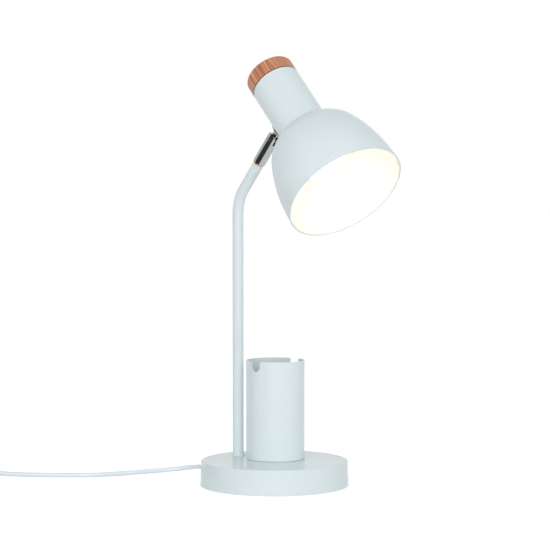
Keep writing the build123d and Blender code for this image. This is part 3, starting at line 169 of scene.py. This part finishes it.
# %% Lay the second stretch, from the switch through the coil to the plug
RUN_ROUTE = (
    (-314.78, -211.49, 5.0),
    (-330.50, -226.16, 5.0),
    (-333.6, -246.9, 4.0),
    (-323.0, -265.1, 2.9),
    (-287.8, -279.3, 2.6),
    (-258.7, -287.7, 3.4),
    (-242.5, -292.9, 3.4),
)
PLUG_MIDDLE = 6.85
TAIL_LEN = 11.0
DROP_LEN = 10.0
TIP_LEN = 6.0
tail = coil_point(COIL_END) + coil_way * TAIL_LEN
drop = tail + coil_way * DROP_LEN
tip = drop + coil_way * TIP_LEN
end_route = [tail, Vector((drop.x, drop.y, PLUG_MIDDLE)), Vector((tip.x, tip.y, PLUG_MIDDLE))]
supply = cord_curve("cord_to_plug", list(RUN_ROUTE) + coil_turns + end_route)
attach(supply, "stand")
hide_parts("cord_run", "cord_coil", "cord_end")
print("second stretch", len(RUN_ROUTE) + coil_count + len(end_route), "points")

# %% [markdown]
# ## Turned and moulded pieces
# Round parts start as a ring of points. The ring is extruded and resized step by step along the part's
# outline, as a potter pulls up a wall, until it meets itself again, and the meeting points are merged.
# Small raised shapes start as a block whose edges are bevelled. Each new piece is made upright at the
# origin and carried to its place at the end, in its mesh, so its object stays at the origin.


# %% Write the helpers for new pieces
def finish_mesh(piece, place, smooth_below=35.0):
    """Merges doubles, turns the faces outwards, moves the mesh to its place and smooths it."""
    bpy.ops.object.mode_set(mode="EDIT")
    bpy.ops.mesh.select_all(action="SELECT")
    bpy.ops.mesh.remove_doubles(threshold=0.005 * MM)
    bpy.ops.mesh.normals_make_consistent(inside=False)
    bpy.ops.object.mode_set(mode="OBJECT")
    bpy.ops.object.transform_apply(location=True, rotation=True, scale=True)
    piece.data.transform(place)
    bpy.ops.object.shade_smooth_by_angle(angle=radians(smooth_below))
    print(piece.name, len(piece.data.polygons), "faces")
    return piece


def turned_piece(name, outline, place, sides=64):
    """A ring pulled along an outline of (radius, height) pairs in millimetres that ends where it began."""
    bpy.ops.object.select_all(action="DESELECT")
    radius, height = outline[0]
    bpy.ops.mesh.primitive_circle_add(vertices=sides, radius=radius * MM, location=(0, 0, height * MM))
    piece = bpy.context.active_object
    piece.name = name
    bpy.ops.object.mode_set(mode="EDIT")
    bpy.ops.mesh.select_all(action="SELECT")
    for next_radius, next_height in outline[1:]:
        rise = (next_height - height) * MM
        grow = next_radius / radius
        bpy.ops.mesh.extrude_region_move(TRANSFORM_OT_translate={"value": (0, 0, rise)})
        bpy.ops.transform.resize(value=(grow, grow, 1), center_override=(0, 0, next_height * MM))
        radius, height = next_radius, next_height
    return finish_mesh(piece, place)


def rounded_block(name, size, edge, place):
    """A block with bevelled edges, its underside on the height of its place, sizes in millimetres."""
    bpy.ops.object.select_all(action="DESELECT")
    bpy.ops.mesh.primitive_cube_add(size=1, location=(0, 0, size[2] / 2 * MM))
    piece = bpy.context.active_object
    piece.name = name
    piece.scale = tuple(value * MM for value in size)
    bpy.ops.object.transform_apply(location=False, rotation=False, scale=True)
    bpy.ops.object.mode_set(mode="EDIT")
    bpy.ops.mesh.select_all(action="SELECT")
    bpy.ops.mesh.bevel(offset=edge * MM, segments=3, profile=0.5)
    return finish_mesh(piece, place)


def moved(x, y, z):
    return Matrix.Translation((x * MM, y * MM, z * MM))


# %% [markdown]
# ## The strain relief at the base
# Where the cord leaves the base, a soft tapered sleeve stops it from kinking. Real ones are moulded
# with ring grooves, so that they bend evenly. Its outline runs from the flange inside the cover's
# wall, through the wall, over the outer flange and down the grooved taper, and back along its bore.

# %% Turn the strain relief
RELIEF_GROOVES = (85.2, 87.9, 90.6, 93.3, 96.0)
GROOVE_LEN = 1.2
GROOVE_DEPTH = 0.75
GROOVE_SLOPE = 0.15
RELIEF_ROOT = (4.9, 81.94)
RELIEF_TIP = (3.4, 99.94)
BORE_R = 2.55


def relief_radius(height):
    """Radius of the relief's taper at a distance from the middle of the base."""
    share = (height - RELIEF_ROOT[1]) / (RELIEF_TIP[1] - RELIEF_ROOT[1])
    return RELIEF_ROOT[0] + (RELIEF_TIP[0] - RELIEF_ROOT[0]) * share


relief_outline = [(BORE_R, 75.80), (5.0, 75.80), (5.3, 76.10), (5.3, 77.76), (3.9, 77.76), (3.9, 79.94),
                  (5.3, 79.94), (5.3, 81.50), (5.15, 81.82), (4.9, 81.94)]
for start in RELIEF_GROOVES:
    end = start + GROOVE_LEN
    relief_outline += [(relief_radius(start), start),
                       (relief_radius(start) - GROOVE_DEPTH, start + GROOVE_SLOPE),
                       (relief_radius(end) - GROOVE_DEPTH, end - GROOVE_SLOPE),
                       (relief_radius(end), end)]
relief_outline += [(3.43, 99.5), (3.2, 99.86), (2.95, 99.94), (BORE_R, 99.94), (BORE_R, 75.80)]
out_of_base = moved(0, 0, 9.0) @ Matrix.Rotation(radians(-90), 4, "Y")
strain_relief = turned_piece("strain_relief", relief_outline, out_of_base, sides=40)
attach(strain_relief, "stand")
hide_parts("cord_strain_relief")

# %% [markdown]
# ## Marks on the switch
# The rocker carries the two marks that every such switch has, a bar on the end that is pressed for on
# and a ring on the other. They stand 0.2 mm proud, as moulded ones do. The stored rocker has its near
# end pressed, so that face is level and the other one rises at twice the rocker's slant.

# %% Mould the two marks
MARK_FROM_AXLE = 4.7
MARK_SUNK = 0.3
BAR_SIZE = (0.6, 3.2, 0.5)
BAR_EDGE = 0.12
SLANT = radians(8)
AXLE_HEIGHT = 14.0
VALLEY_OVER_AXLE = 4.0
SWITCH_TURN = radians(180) + 0.7502
switch_place = moved(-295.76, -193.76, 0) @ Matrix.Rotation(SWITCH_TURN, 4, "Z")
axle_place = switch_place @ moved(0, 0, AXLE_HEIGHT)
rocker_valley = axle_place @ Matrix.Rotation(-SLANT, 4, "Y") @ moved(0, 0, VALLEY_OVER_AXLE)
level_face = rocker_valley @ Matrix.Rotation(SLANT, 4, "Y") @ moved(-MARK_FROM_AXLE, 0, -MARK_SUNK)
raised_face = rocker_valley @ Matrix.Rotation(-SLANT, 4, "Y") @ moved(MARK_FROM_AXLE, 0, -MARK_SUNK)
on_mark = rounded_block("on_mark", BAR_SIZE, BAR_EDGE, level_face)
ring_outline = [(1.7, 0), (1.7, 0.40), (1.6, 0.5), (1.2, 0.5), (1.1, 0.40), (1.1, 0), (1.7, 0)]
off_mark = turned_piece("off_mark", ring_outline, raised_face, sides=32)
for mark in (on_mark, off_mark):
    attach(mark, "rocker")
print("marks", [round(value, 4) for value in on_mark.data.vertices[0].co])

# %% [markdown]
# ## Grip ribs on the plug
# A flat plug is pulled by its sides, and a few low ribs across it give the fingers a hold. The ribs
# grow wider with the plug, so each is a block of its own width, and the four are joined.

# %% Mould the grip ribs
plug_place = (Matrix.Translation(tip.xy.to_3d() * MM) @ moved(0, 0, PLUG_MIDDLE)
              @ Matrix.Rotation(atan2(coil_way.y, coil_way.x), 4, "Z"))
RIB_PLACES = ((25.0, 13.0), (28.2, 15.5), (31.4, 18.0), (34.6, 20.5))
RIB_LEN = 1.3
RIB_HEIGHT = 0.75
RIB_EDGE = 0.3
RIB_SUNK = 0.4
ribs = []
for along, width in RIB_PLACES:
    ribs.append(rounded_block(f"plug_rib_{len(ribs)}", (RIB_LEN, width, RIB_HEIGHT), RIB_EDGE,
                              plug_place @ moved(along, 0, PLUG_MIDDLE - RIB_SUNK)))
bpy.ops.object.select_all(action="DESELECT")
for rib in ribs:
    rib.select_set(True)
bpy.context.view_layer.objects.active = ribs[0]
bpy.ops.object.join()
plug_ribs = bpy.context.active_object
plug_ribs.name = "plug_ribs"
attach(plug_ribs, "stand")

# %% Say that the cords are laid
print("cords laid")

# %% [markdown]
# ## The shade's rolled rim
# A spun shade is stiffened by rolling its edge outwards into a thin bead. Seen from below, the bead is
# the fine grey line between the bright inside and whatever lies behind. It is a small ring of round
# section on the shade's mouth.

# %% Roll the rim
MOUTH = Vector((110.971, -12.358, 315.834)) * MM
FACING = Vector((0.69583, -0.09858, -0.71141)).normalized()
RIM_R = 64.0
BEAD_R = 0.8
BEAD_SET_IN = 0.25
BEAD_SIDES = 12
bead_outline = [(RIM_R - BEAD_SET_IN + BEAD_R * cos(tau * step / BEAD_SIDES),
                 BEAD_R * sin(tau * step / BEAD_SIDES)) for step in range(BEAD_SIDES + 1)]
head_place = Matrix.Translation(MOUTH) @ FACING.to_track_quat("Z", "Y").to_matrix().to_4x4()
rim_bead = turned_piece("rolled_rim", bead_outline, head_place, sides=160)
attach(rim_bead, "head")

# %% [markdown]
# ## A helper for shader maths
# A material is a small calculation that runs for every point of a surface. Written with bare nodes it
# is hard to read, so a small class wraps a socket and lets Python add, multiply and compare sockets
# as it does numbers. Every other node comes from one method.


# %% Write the shader helper
class Socket:
    """A shader output that Python can use like a number."""

    def __init__(self, shader, link):
        self.shader = shader
        self.link = link

    def math(self, operation, first, second):
        return self.shader.node("ShaderNodeMath", {"operation": operation}, {0: first, 1: second})

    def __add__(self, other):
        return self.math("ADD", self, other)

    def __sub__(self, other):
        return self.math("SUBTRACT", self, other)

    def __rsub__(self, other):
        return self.math("SUBTRACT", other, self)

    def __mul__(self, other):
        return self.math("MULTIPLY", self, other)

    def __pow__(self, other):
        return self.math("POWER", self, other)

    def __gt__(self, other):
        return self.math("GREATER_THAN", self, other)

    __radd__ = __add__
    __rmul__ = __mul__


class Shader:
    """One material, or the world, and the nodes that are added to it."""

    def __init__(self, name, world=None):
        self.material = world or bpy.data.materials.new(name)
        self.material.use_nodes = True
        self.tree = self.material.node_tree
        self.surface = self.tree.nodes["Background" if world else "Principled BSDF"]

    def node(self, kind, settings=None, inputs=None, out=0):
        node = self.tree.nodes.new(kind)
        for key, value in (settings or {}).items():
            if key == "stops":
                ramp = node.color_ramp.elements
                while len(ramp) < len(value):
                    ramp.new(0.5)
                for stop, (place, colour) in zip(ramp, value):
                    stop.position = place
                    stop.color = (*colour, 1)
            else:
                setattr(node, key, value)
        for key, value in (inputs or {}).items():
            self.feed(node.inputs[key], value)
        return Socket(self, node.outputs[out])

    def feed(self, socket, value):
        if isinstance(value, Socket):
            self.tree.links.new(value.link, socket)
        elif socket.type == "RGBA" and len(value) == 3:
            socket.default_value = (*value, 1)
        else:
            socket.default_value = value

    def finish(self, **values):
        """Sets the surface: Base_Color stands for Base Color, and so on."""
        for key, value in values.items():
            self.feed(self.surface.inputs[key.replace("_", " ")], value)
        return self.material

    def place(self, turn=None, stretch=None):
        """Object coordinates in metres, first turned and then stretched."""
        where = self.node("ShaderNodeTexCoord", out="Object")
        if turn:
            where = self.node("ShaderNodeMapping", None, {"Vector": where, "Rotation": turn})
        if stretch:
            where = self.node("ShaderNodeMapping", None, {"Vector": where, "Scale": stretch})
        return where

    def noise(self, where, scale, detail=3.0, roughness=0.5, out="Fac"):
        return self.node("ShaderNodeTexNoise", None, {
            "Vector": where, "Scale": scale, "Detail": detail, "Roughness": roughness}, out)

    def spread(self, value, low, high, new_low=0.0, new_high=1.0):
        return self.node("ShaderNodeMapRange", None, {
            "Value": value, "From Min": low, "From Max": high,
            "To Min": new_low, "To Max": new_high})

    def mix(self, share, first, second):
        return self.node("ShaderNodeMix", {"data_type": "RGBA"}, {
            "Factor": share, 6: first, 7: second}, 2)

    def bump(self, height, distance, strength=1.0):
        return self.node("ShaderNodeBump", None, {
            "Height": height, "Distance": distance, "Strength": strength})

    def backdrop_ray(self):
        """One where the backdrop itself is seen: by the camera, in a reflection or through glass."""
        camera_ray, glossy_ray, glass_ray = (self.node("ShaderNodeLightPath", out=name) for name in (
            "Is Camera Ray", "Is Glossy Ray", "Is Transmission Ray"))
        return camera_ray + glossy_ray + glass_ray


def dress(material, *names):
    """Gives a material to measured nodes or new pieces."""
    for name in names:
        piece = nodes[name] if name in nodes else bpy.data.objects[name]
        piece.data.materials.clear()
        piece.data.materials.append(material)


print("helper ready")

# %% [markdown]
# ## Satin paint
# The stand, the cup and the shade have one coat of powder paint: a pale, slightly blue-green white.
# Powder melts into a film with a very fine orange-peel, so the light on it is soft and broken by
# waves under a millimetre long. Two layers of noise give the film its waves and a barely visible
# change of tone, and the roughness changes a little where hands polish it.


# %% Mix the satin paint
PAINT = (0.735, 0.803, 0.822)
PAINT_WORN = (0.705, 0.777, 0.797)
PAINT_GLOSS = 0.18


def paint_film(shader):
    """Tone, roughness and surface of powder paint, read in object space."""
    where = shader.place()
    cloud = shader.noise(where, 14.0, 3.0)
    peel = shader.noise(where, 620.0, 2.0)
    grain = shader.noise(where, 2600.0, 1.0)
    tone = shader.spread(cloud, 0.35, 0.7, 0.0, 0.55)
    rough = 0.20 + (cloud - 0.5) * 0.10 + (grain - 0.5) * 0.05
    surface = shader.bump(peel * 0.8 + grain * 0.2, 0.00003, 0.25)
    return tone, rough, surface


paint = Shader("satin_white_paint")
tone, rough, surface = paint_film(paint)
dress(paint.finish(Base_Color=paint.mix(tone, PAINT, PAINT_WORN), Roughness=rough, Normal=surface,
                   Specular_IOR_Level=PAINT_GLOSS),
      "base_cover", "arm_collar", "arm_tube", "pen_cup", "rolled_rim")
print("satin paint")

# %% [markdown]
# ## The shade's two sides
# The shade has the same paint outside and plain white inside, which throws the light back. The two
# sides are one solid, so the material tells them apart by the surface's direction: inside, it faces
# the shade's axis. The direction and the place are both read in object space, so the boundary
# travels with the head when it moves.

# %% Mix the shade's paint
SHADE_INSIDE = (0.93, 0.92, 0.86)
shade = Shader("shade_paint")
tone, rough, surface = paint_film(shade)
here = shade.node("ShaderNodeTexCoord", out="Object")
side = shade.node("ShaderNodeTexCoord", out="Normal")
from_mouth = shade.node("ShaderNodeVectorMath", {"operation": "SUBTRACT"}, {0: here, 1: tuple(MOUTH)})
along = shade.node("ShaderNodeVectorMath", {"operation": "DOT_PRODUCT"},
                   {0: from_mouth, 1: tuple(FACING)}, "Value")
on_axis = shade.node("ShaderNodeVectorMath", {"operation": "SCALE"},
                     {0: tuple(FACING), "Scale": along})
outward = shade.node("ShaderNodeVectorMath", {"operation": "SUBTRACT"}, {0: from_mouth, 1: on_axis})
facing_out = shade.node("ShaderNodeVectorMath", {"operation": "DOT_PRODUCT"},
                        {0: outward, 1: side}, "Value")
inside = 1 - (facing_out > 0.0)
outer_colour = shade.mix(tone, PAINT, PAINT_WORN)
dress(shade.finish(Base_Color=shade.mix(inside, outer_colour, SHADE_INSIDE), Roughness=rough,
                   Normal=surface, Specular_IOR_Level=PAINT_GLOSS), "lamp_shade")
print("shade paint")

# %% [markdown]
# ## The wooden end cap
# The cap is turned from a plank of oiled wood with its grain along the shade's axis, so its side shows
# long dark streaks and its end shows rings and pores. One pattern in space gives both, as in real
# wood: rings round an axis far to one side, bent by slow noise, and fine fibres that are stretched
# along the grain. The pattern is turned until its length lies along the shade's axis. On the end face
# the fibres are seen as dots, so the streaks fade there and the rings grow stronger. A narrow band
# where the cap meets the neck is painted dark: painted shade for the shadow that falls in the joint's gap.

# %% Mix the wood
PITH_ACROSS = 0.11
PITH_THROUGH = 0.05
RINGS_PER_METRE = 430.0
CAP_BEHIND_MOUTH = 161.0 * MM
wood = Shader("oiled_wood")
turn = FACING.to_track_quat("Z", "Y").inverted().to_euler()
plank = wood.place(tuple(turn), (1, 1, 0.06))
fibre_place = wood.place(tuple(turn), (1, 1, 0.02))
across = wood.node("ShaderNodeSeparateXYZ", None, {0: plank}, 0)
through = wood.node("ShaderNodeSeparateXYZ", None, {0: plank}, 1)
warp = wood.noise(plank, 55.0, 2.0)
from_pith = ((across + PITH_ACROSS) ** 2.0 + (through - PITH_THROUGH) ** 2.0) ** 0.5
rings = from_pith * RINGS_PER_METRE + warp * 2.6
ring_wave = wood.node("ShaderNodeMath", {"operation": "FRACT"}, {0: rings})
late_wood = wood.spread(ring_wave, 0.45, 1.0, 0.0, 1.0) ** 2.2
streak = wood.spread(wood.noise(plank, 330.0, 4.0, 0.6), 0.38, 0.62)
dark_streak = wood.spread(wood.noise(fibre_place, 560.0, 3.0, 0.6), 0.53, 0.62)
fibre = wood.noise(fibre_place, 1300.0, 3.0, 0.6)
pores = wood.spread(wood.noise(fibre_place, 2300.0, 2.0), 0.60, 0.72)
facing = wood.node("ShaderNodeVectorMath", {"operation": "DOT_PRODUCT"},
                   {0: wood.node("ShaderNodeTexCoord", out="Normal"), 1: tuple(FACING)}, "Value")
end_grain = facing ** 2.0 > 0.5
calm = 1 - end_grain * 0.80
base = wood.mix(0.50 + (streak - 0.50) * calm, (0.450, 0.135, 0.052), (0.825, 0.380, 0.200))
base = wood.mix(late_wood * (0.40 + end_grain * 0.35), base, (0.38, 0.115, 0.045))
base = wood.mix(wood.spread(fibre, 0.35, 0.65, 0.0, 0.35), base, (0.46, 0.155, 0.066))
base = wood.mix(dark_streak * 0.70 * calm, base, (0.26, 0.072, 0.028))
base = wood.mix(pores * 0.5, base, (0.18, 0.055, 0.024))
along_axis = wood.node("ShaderNodeVectorMath", {"operation": "DOT_PRODUCT"},
                       {0: wood.place(), 1: tuple(FACING)}, "Value")
# Painted shade: a narrow band next to the neck is darkened for the shadow in the joint's gap.
joint_gap_shade = along_axis > MOUTH.dot(FACING) - CAP_BEHIND_MOUTH
base = wood.mix(joint_gap_shade, base, (0.045, 0.018, 0.010))
height = fibre * 0.5 - pores * 0.8 - late_wood * 0.15
dress(wood.finish(Base_Color=base, Roughness=0.36 + pores * 0.2 + fibre * 0.10,
                  Normal=wood.bump(height, 0.00012, 0.6), Specular_IOR_Level=0.60), "wood_cap")
print("wood")

# %% [markdown]
# ## Metals
# The swivel's sleeve and tongue are nickel-plated and polished, so they mirror the room: a pale
# stripe, a broad dark one and a grey one. The ring under the sleeve is brass. Screws, nuts and
# washers are zinc-plated steel, and the weight inside the base is cast iron with a rough skin.


# %% Mix the metals
def metal(name, colour, second, rough, scratch, *names, stretch=(1, 1, 1)):
    """A metal with a slow change of tone and fine marks left by the polish."""
    shader = Shader(name)
    where = shader.place(stretch=stretch)
    cloud = shader.noise(where, 60.0, 3.0)
    marks = shader.noise(where, 1900.0, 2.0, 0.7)
    colour = shader.mix(shader.spread(cloud, 0.3, 0.7), colour, second)
    dress(shader.finish(Base_Color=colour, Metallic=1.0, Roughness=rough + (marks - 0.5) * scratch,
                        Normal=shader.bump(marks, 0.00002, 0.35)), *names)


metal("polished_nickel", (0.400, 0.418, 0.414), (0.380, 0.394, 0.390), 0.07, 0.05,
      "swivel_sleeve", "swivel_tongue", "pivot_screw")
metal("polished_brass", (0.78, 0.55, 0.24), (0.66, 0.44, 0.17), 0.20, 0.12,
      "brass_ring", "swivel_spindle", "swivel_keeper", "sleeve_bush", "contact_shell",
      "centre_contact", "switch_contacts")
metal("zinc_plate", (0.60, 0.61, 0.63), (0.50, 0.51, 0.52), 0.32, 0.18,
      "base_plate", "plate_screws", "foot_nipple", "foot_washer", "foot_nut", "clamp_screws",
      "cup_washers", "cup_screws", "stop_pin", "stud_saddle", "stud_nut", "cap_screws",
      "holder_nipple", "holder_nut", "holder_spacer", "rocker_axle", "switch_screws")
metal("nickel_pins", (0.70, 0.69, 0.66), (0.60, 0.58, 0.55), 0.22, 0.14, "plug_pins")
metal("rolled_aluminium", (0.74, 0.75, 0.76), (0.64, 0.65, 0.66), 0.30, 0.16, "bulb_cap")
iron = Shader("cast_iron")
sand = iron.noise(iron.place(), 900.0, 4.0, 0.65)
lumps = iron.noise(iron.place(), 90.0, 3.0)
dress(iron.finish(Base_Color=iron.mix(sand, (0.035, 0.034, 0.034), (0.09, 0.085, 0.08)), Metallic=0.6,
                  Roughness=0.62 + sand * 0.25, Normal=iron.bump(sand + lumps, 0.0004, 0.8)),
      "base_weight")
print("metals")

# %% [markdown]
# ## Plastics and rubber
# The cord's sheath is soft and slightly glossy. The switch is moulded with a fine spark-eroded grain,
# its rocker is glossy, and the plug and the reliefs are a softer plastic. One recipe serves them all:
# a colour that drifts a little, a grain of its own size, and a roughness that follows the grain.


# %% Mix the plastics
def plastic(name, colour, rough, grain_scale, grain_depth, *names):
    """Moulded plastic with its grain."""
    shader = Shader(name)
    where = shader.place()
    cloud = shader.noise(where, 35.0, 3.0)
    grain = shader.noise(where, grain_scale, 2.0, 0.6)
    darker = tuple(value * 0.90 for value in colour)
    colour = shader.mix(shader.spread(cloud, 0.35, 0.7, 0.0, 0.6), colour, darker)
    dress(shader.finish(Base_Color=colour, Roughness=rough + (grain - 0.5) * 0.12,
                        Normal=shader.bump(grain, grain_depth, 0.6)), *names)


plastic("cord_sheath", (0.84, 0.90, 0.95), 0.42, 700.0, 0.00005,
        "cord_to_switch", "cord_to_plug", "inner_cord", "cord_lead", "cord_run", "cord_coil",
        "cord_end")
plastic("soft_plug_plastic", (0.74, 0.79, 0.81), 0.50, 1100.0, 0.00006,
        "cord_strain_relief", "strain_relief", "plug_relief", "plug_body", "plug_ribs")
plastic("switch_plastic", (0.80, 0.81, 0.81), 0.46, 1500.0, 0.00007,
        "switch_base", "switch_cover", "cord_clamp")
plastic("glossy_rocker", (0.86, 0.86, 0.85), 0.22, 300.0, 0.00001, "switch_rocker", "on_mark", "off_mark")
plastic("tie_plastic", (0.83, 0.83, 0.80), 0.45, 900.0, 0.00004, "cord_tie")
plastic("nylon", (0.78, 0.76, 0.68), 0.40, 700.0, 0.00003, "friction_discs")
plastic("holder_plastic", (0.84, 0.84, 0.81), 0.38, 900.0, 0.00004, "holder_cap", "holder_body")
plastic("bulb_plastic", (0.86, 0.86, 0.85), 0.30, 500.0, 0.00002, "bulb_body")
plastic("board_white", (0.82, 0.82, 0.79), 0.45, 800.0, 0.00003, "led_board")
plastic("foam_pad", (0.028, 0.028, 0.030), 0.85, 1300.0, 0.00020, "foot_pad")
print("plastics")

# %% [markdown]
# ## The lit lamp
# In the photograph the lamp is on, and the inside of the shade is so bright that it is nearly white.
# Only the opal front of the lamp gives light; the shade's white inside does the rest, as it does
# in the real one.

# %% Mix the opal front
opal = Shader("opal_front")
veil = opal.noise(opal.place(), 40.0, 2.0)
warm = opal.mix(opal.spread(veil, 0.3, 0.7), (1.0, 0.955, 0.86), (1.0, 0.93, 0.81))
dress(opal.finish(Base_Color=(0.88, 0.87, 0.84), Roughness=0.45 + (veil - 0.5) * 0.1,
                  Emission_Color=warm, Emission_Strength=1.95), "bulb_dome")
print("opal front")

# %% [markdown]
# ## Floor, backdrop and light
# The photograph has a plain white ground. The world and the floor look white to the camera and to
# polished metal, and stay a softer grey for everything else, so the white doesn't bleach the paint.
# One large soft light stands near the camera, where it makes the middle of each round piece a little
# brighter than its edges, and a weaker one stands on each side.

# %% Make the floor and the world
bpy.ops.object.select_all(action="DESELECT")
bpy.ops.mesh.primitive_plane_add(size=24.0, location=(0, 0, -0.0002))
floor = bpy.context.active_object
floor.name = "floor"
ground = Shader("white_floor")
FLOOR_GLOW = 0.605
glow = ground.mix(ground.backdrop_ray(), (0.0, 0.0, 0.0), (FLOOR_GLOW,) * 3)
ground.finish(Base_Color=(0.80, 0.80, 0.80), Roughness=0.9, Specular_IOR_Level=0.0,
              Emission_Color=glow, Emission_Strength=1.0)
floor.data.materials.append(ground.material)

WORLD_LIGHT = 0.54
WORLD_TINT = (0.935, 1.0, 1.02)
world = bpy.data.worlds.new("studio")
bpy.context.scene.world = world
sky = Shader("studio", world)
seen = sky.backdrop_ray()
sky.finish(Strength=sky.spread(seen, 0.0, 1.0, WORLD_LIGHT, 1.0),
           Color=sky.mix(seen, WORLD_TINT, (1.0, 1.0, 1.0)))
print("floor and world")


# %% Place the lights
def from_camera(across, up, away):
    """A place given as seen from the camera: across, up, and towards it from the lamp."""
    turn = radians(VIEW_TURN)
    return Vector((across * cos(turn) + away * sin(turn), across * sin(turn) - away * cos(turn), up))


def soft_light(name, across, up, away, size, power, colour=(1, 1, 1), aim=(0, 0, 0.22)):
    """A square light aimed at the lamp."""
    data = bpy.data.lights.new(name, "AREA")
    data.shape = "SQUARE"
    data.size = size
    data.energy = power
    data.color = colour
    light = bpy.data.objects.new(name, data)
    light.location = from_camera(across, up, away)
    light.rotation_euler = (Vector(aim) - light.location).to_track_quat("-Z", "Y").to_euler()
    bpy.context.scene.collection.objects.link(light)
    return light


soft_light("front_light", -0.10, 0.45, 2.5, 1.5, 38.0, (1.0, 0.972, 0.962))
soft_light("left_light", -1.9, 1.6, 0.3, 1.2, 2.5)
soft_light("right_light", 2.1, 1.3, 0.2, 1.2, 6.5)
print("lights")

# %% [markdown]
# ## A black flag
# A polished cylinder shows only what stands round it. In a white room it looks like grey plastic, so a
# photographer sets a black card, a flag, beside the lamp. It darkens one broad stripe on the metal.
# The card is left out of everything but reflections.

# %% Set the flag
SLEEVE_MIDDLE = Vector((-0.010, 0, 0.362))
SLEEVE_UP = Vector((0.62388, 0, 0.78152))
FLAG_AWAY = 0.33
FLAG_WIDTH = 0.525
FLAG_HEIGHT = 0.60
bpy.ops.object.select_all(action="DESELECT")
bpy.ops.mesh.primitive_plane_add(size=1.0)
flag = bpy.context.active_object
flag.name = "black_flag"
flag_way = from_camera(-0.780, -0.521, 0.346).normalized()
flag_place = SLEEVE_MIDDLE + flag_way * FLAG_AWAY
long_side = (SLEEVE_UP - flag_way * SLEEVE_UP.dot(flag_way)).normalized()
short_side = long_side.cross(flag_way)
aim = Matrix((short_side, long_side, flag_way)).transposed().to_4x4()
flag_size = Matrix.Diagonal((FLAG_WIDTH, FLAG_HEIGHT, 1, 1))
flag.data.transform(Matrix.Translation(flag_place) @ aim @ flag_size)
flag.visible_camera = False
flag.visible_diffuse = False
flag.visible_shadow = False
flag.visible_transmission = False
black = Shader("black_card")
black.finish(Base_Color=(0.130, 0.116, 0.122), Roughness=1.0, Specular_IOR_Level=0.0)
flag.data.materials.append(black.material)
print("flag", [round(value, 2) for value in flag_place])

# %% Keep colours as they are written
bpy.context.scene.view_settings.view_transform = "Standard"

# %% Finish
bpy.context.view_layer.update()
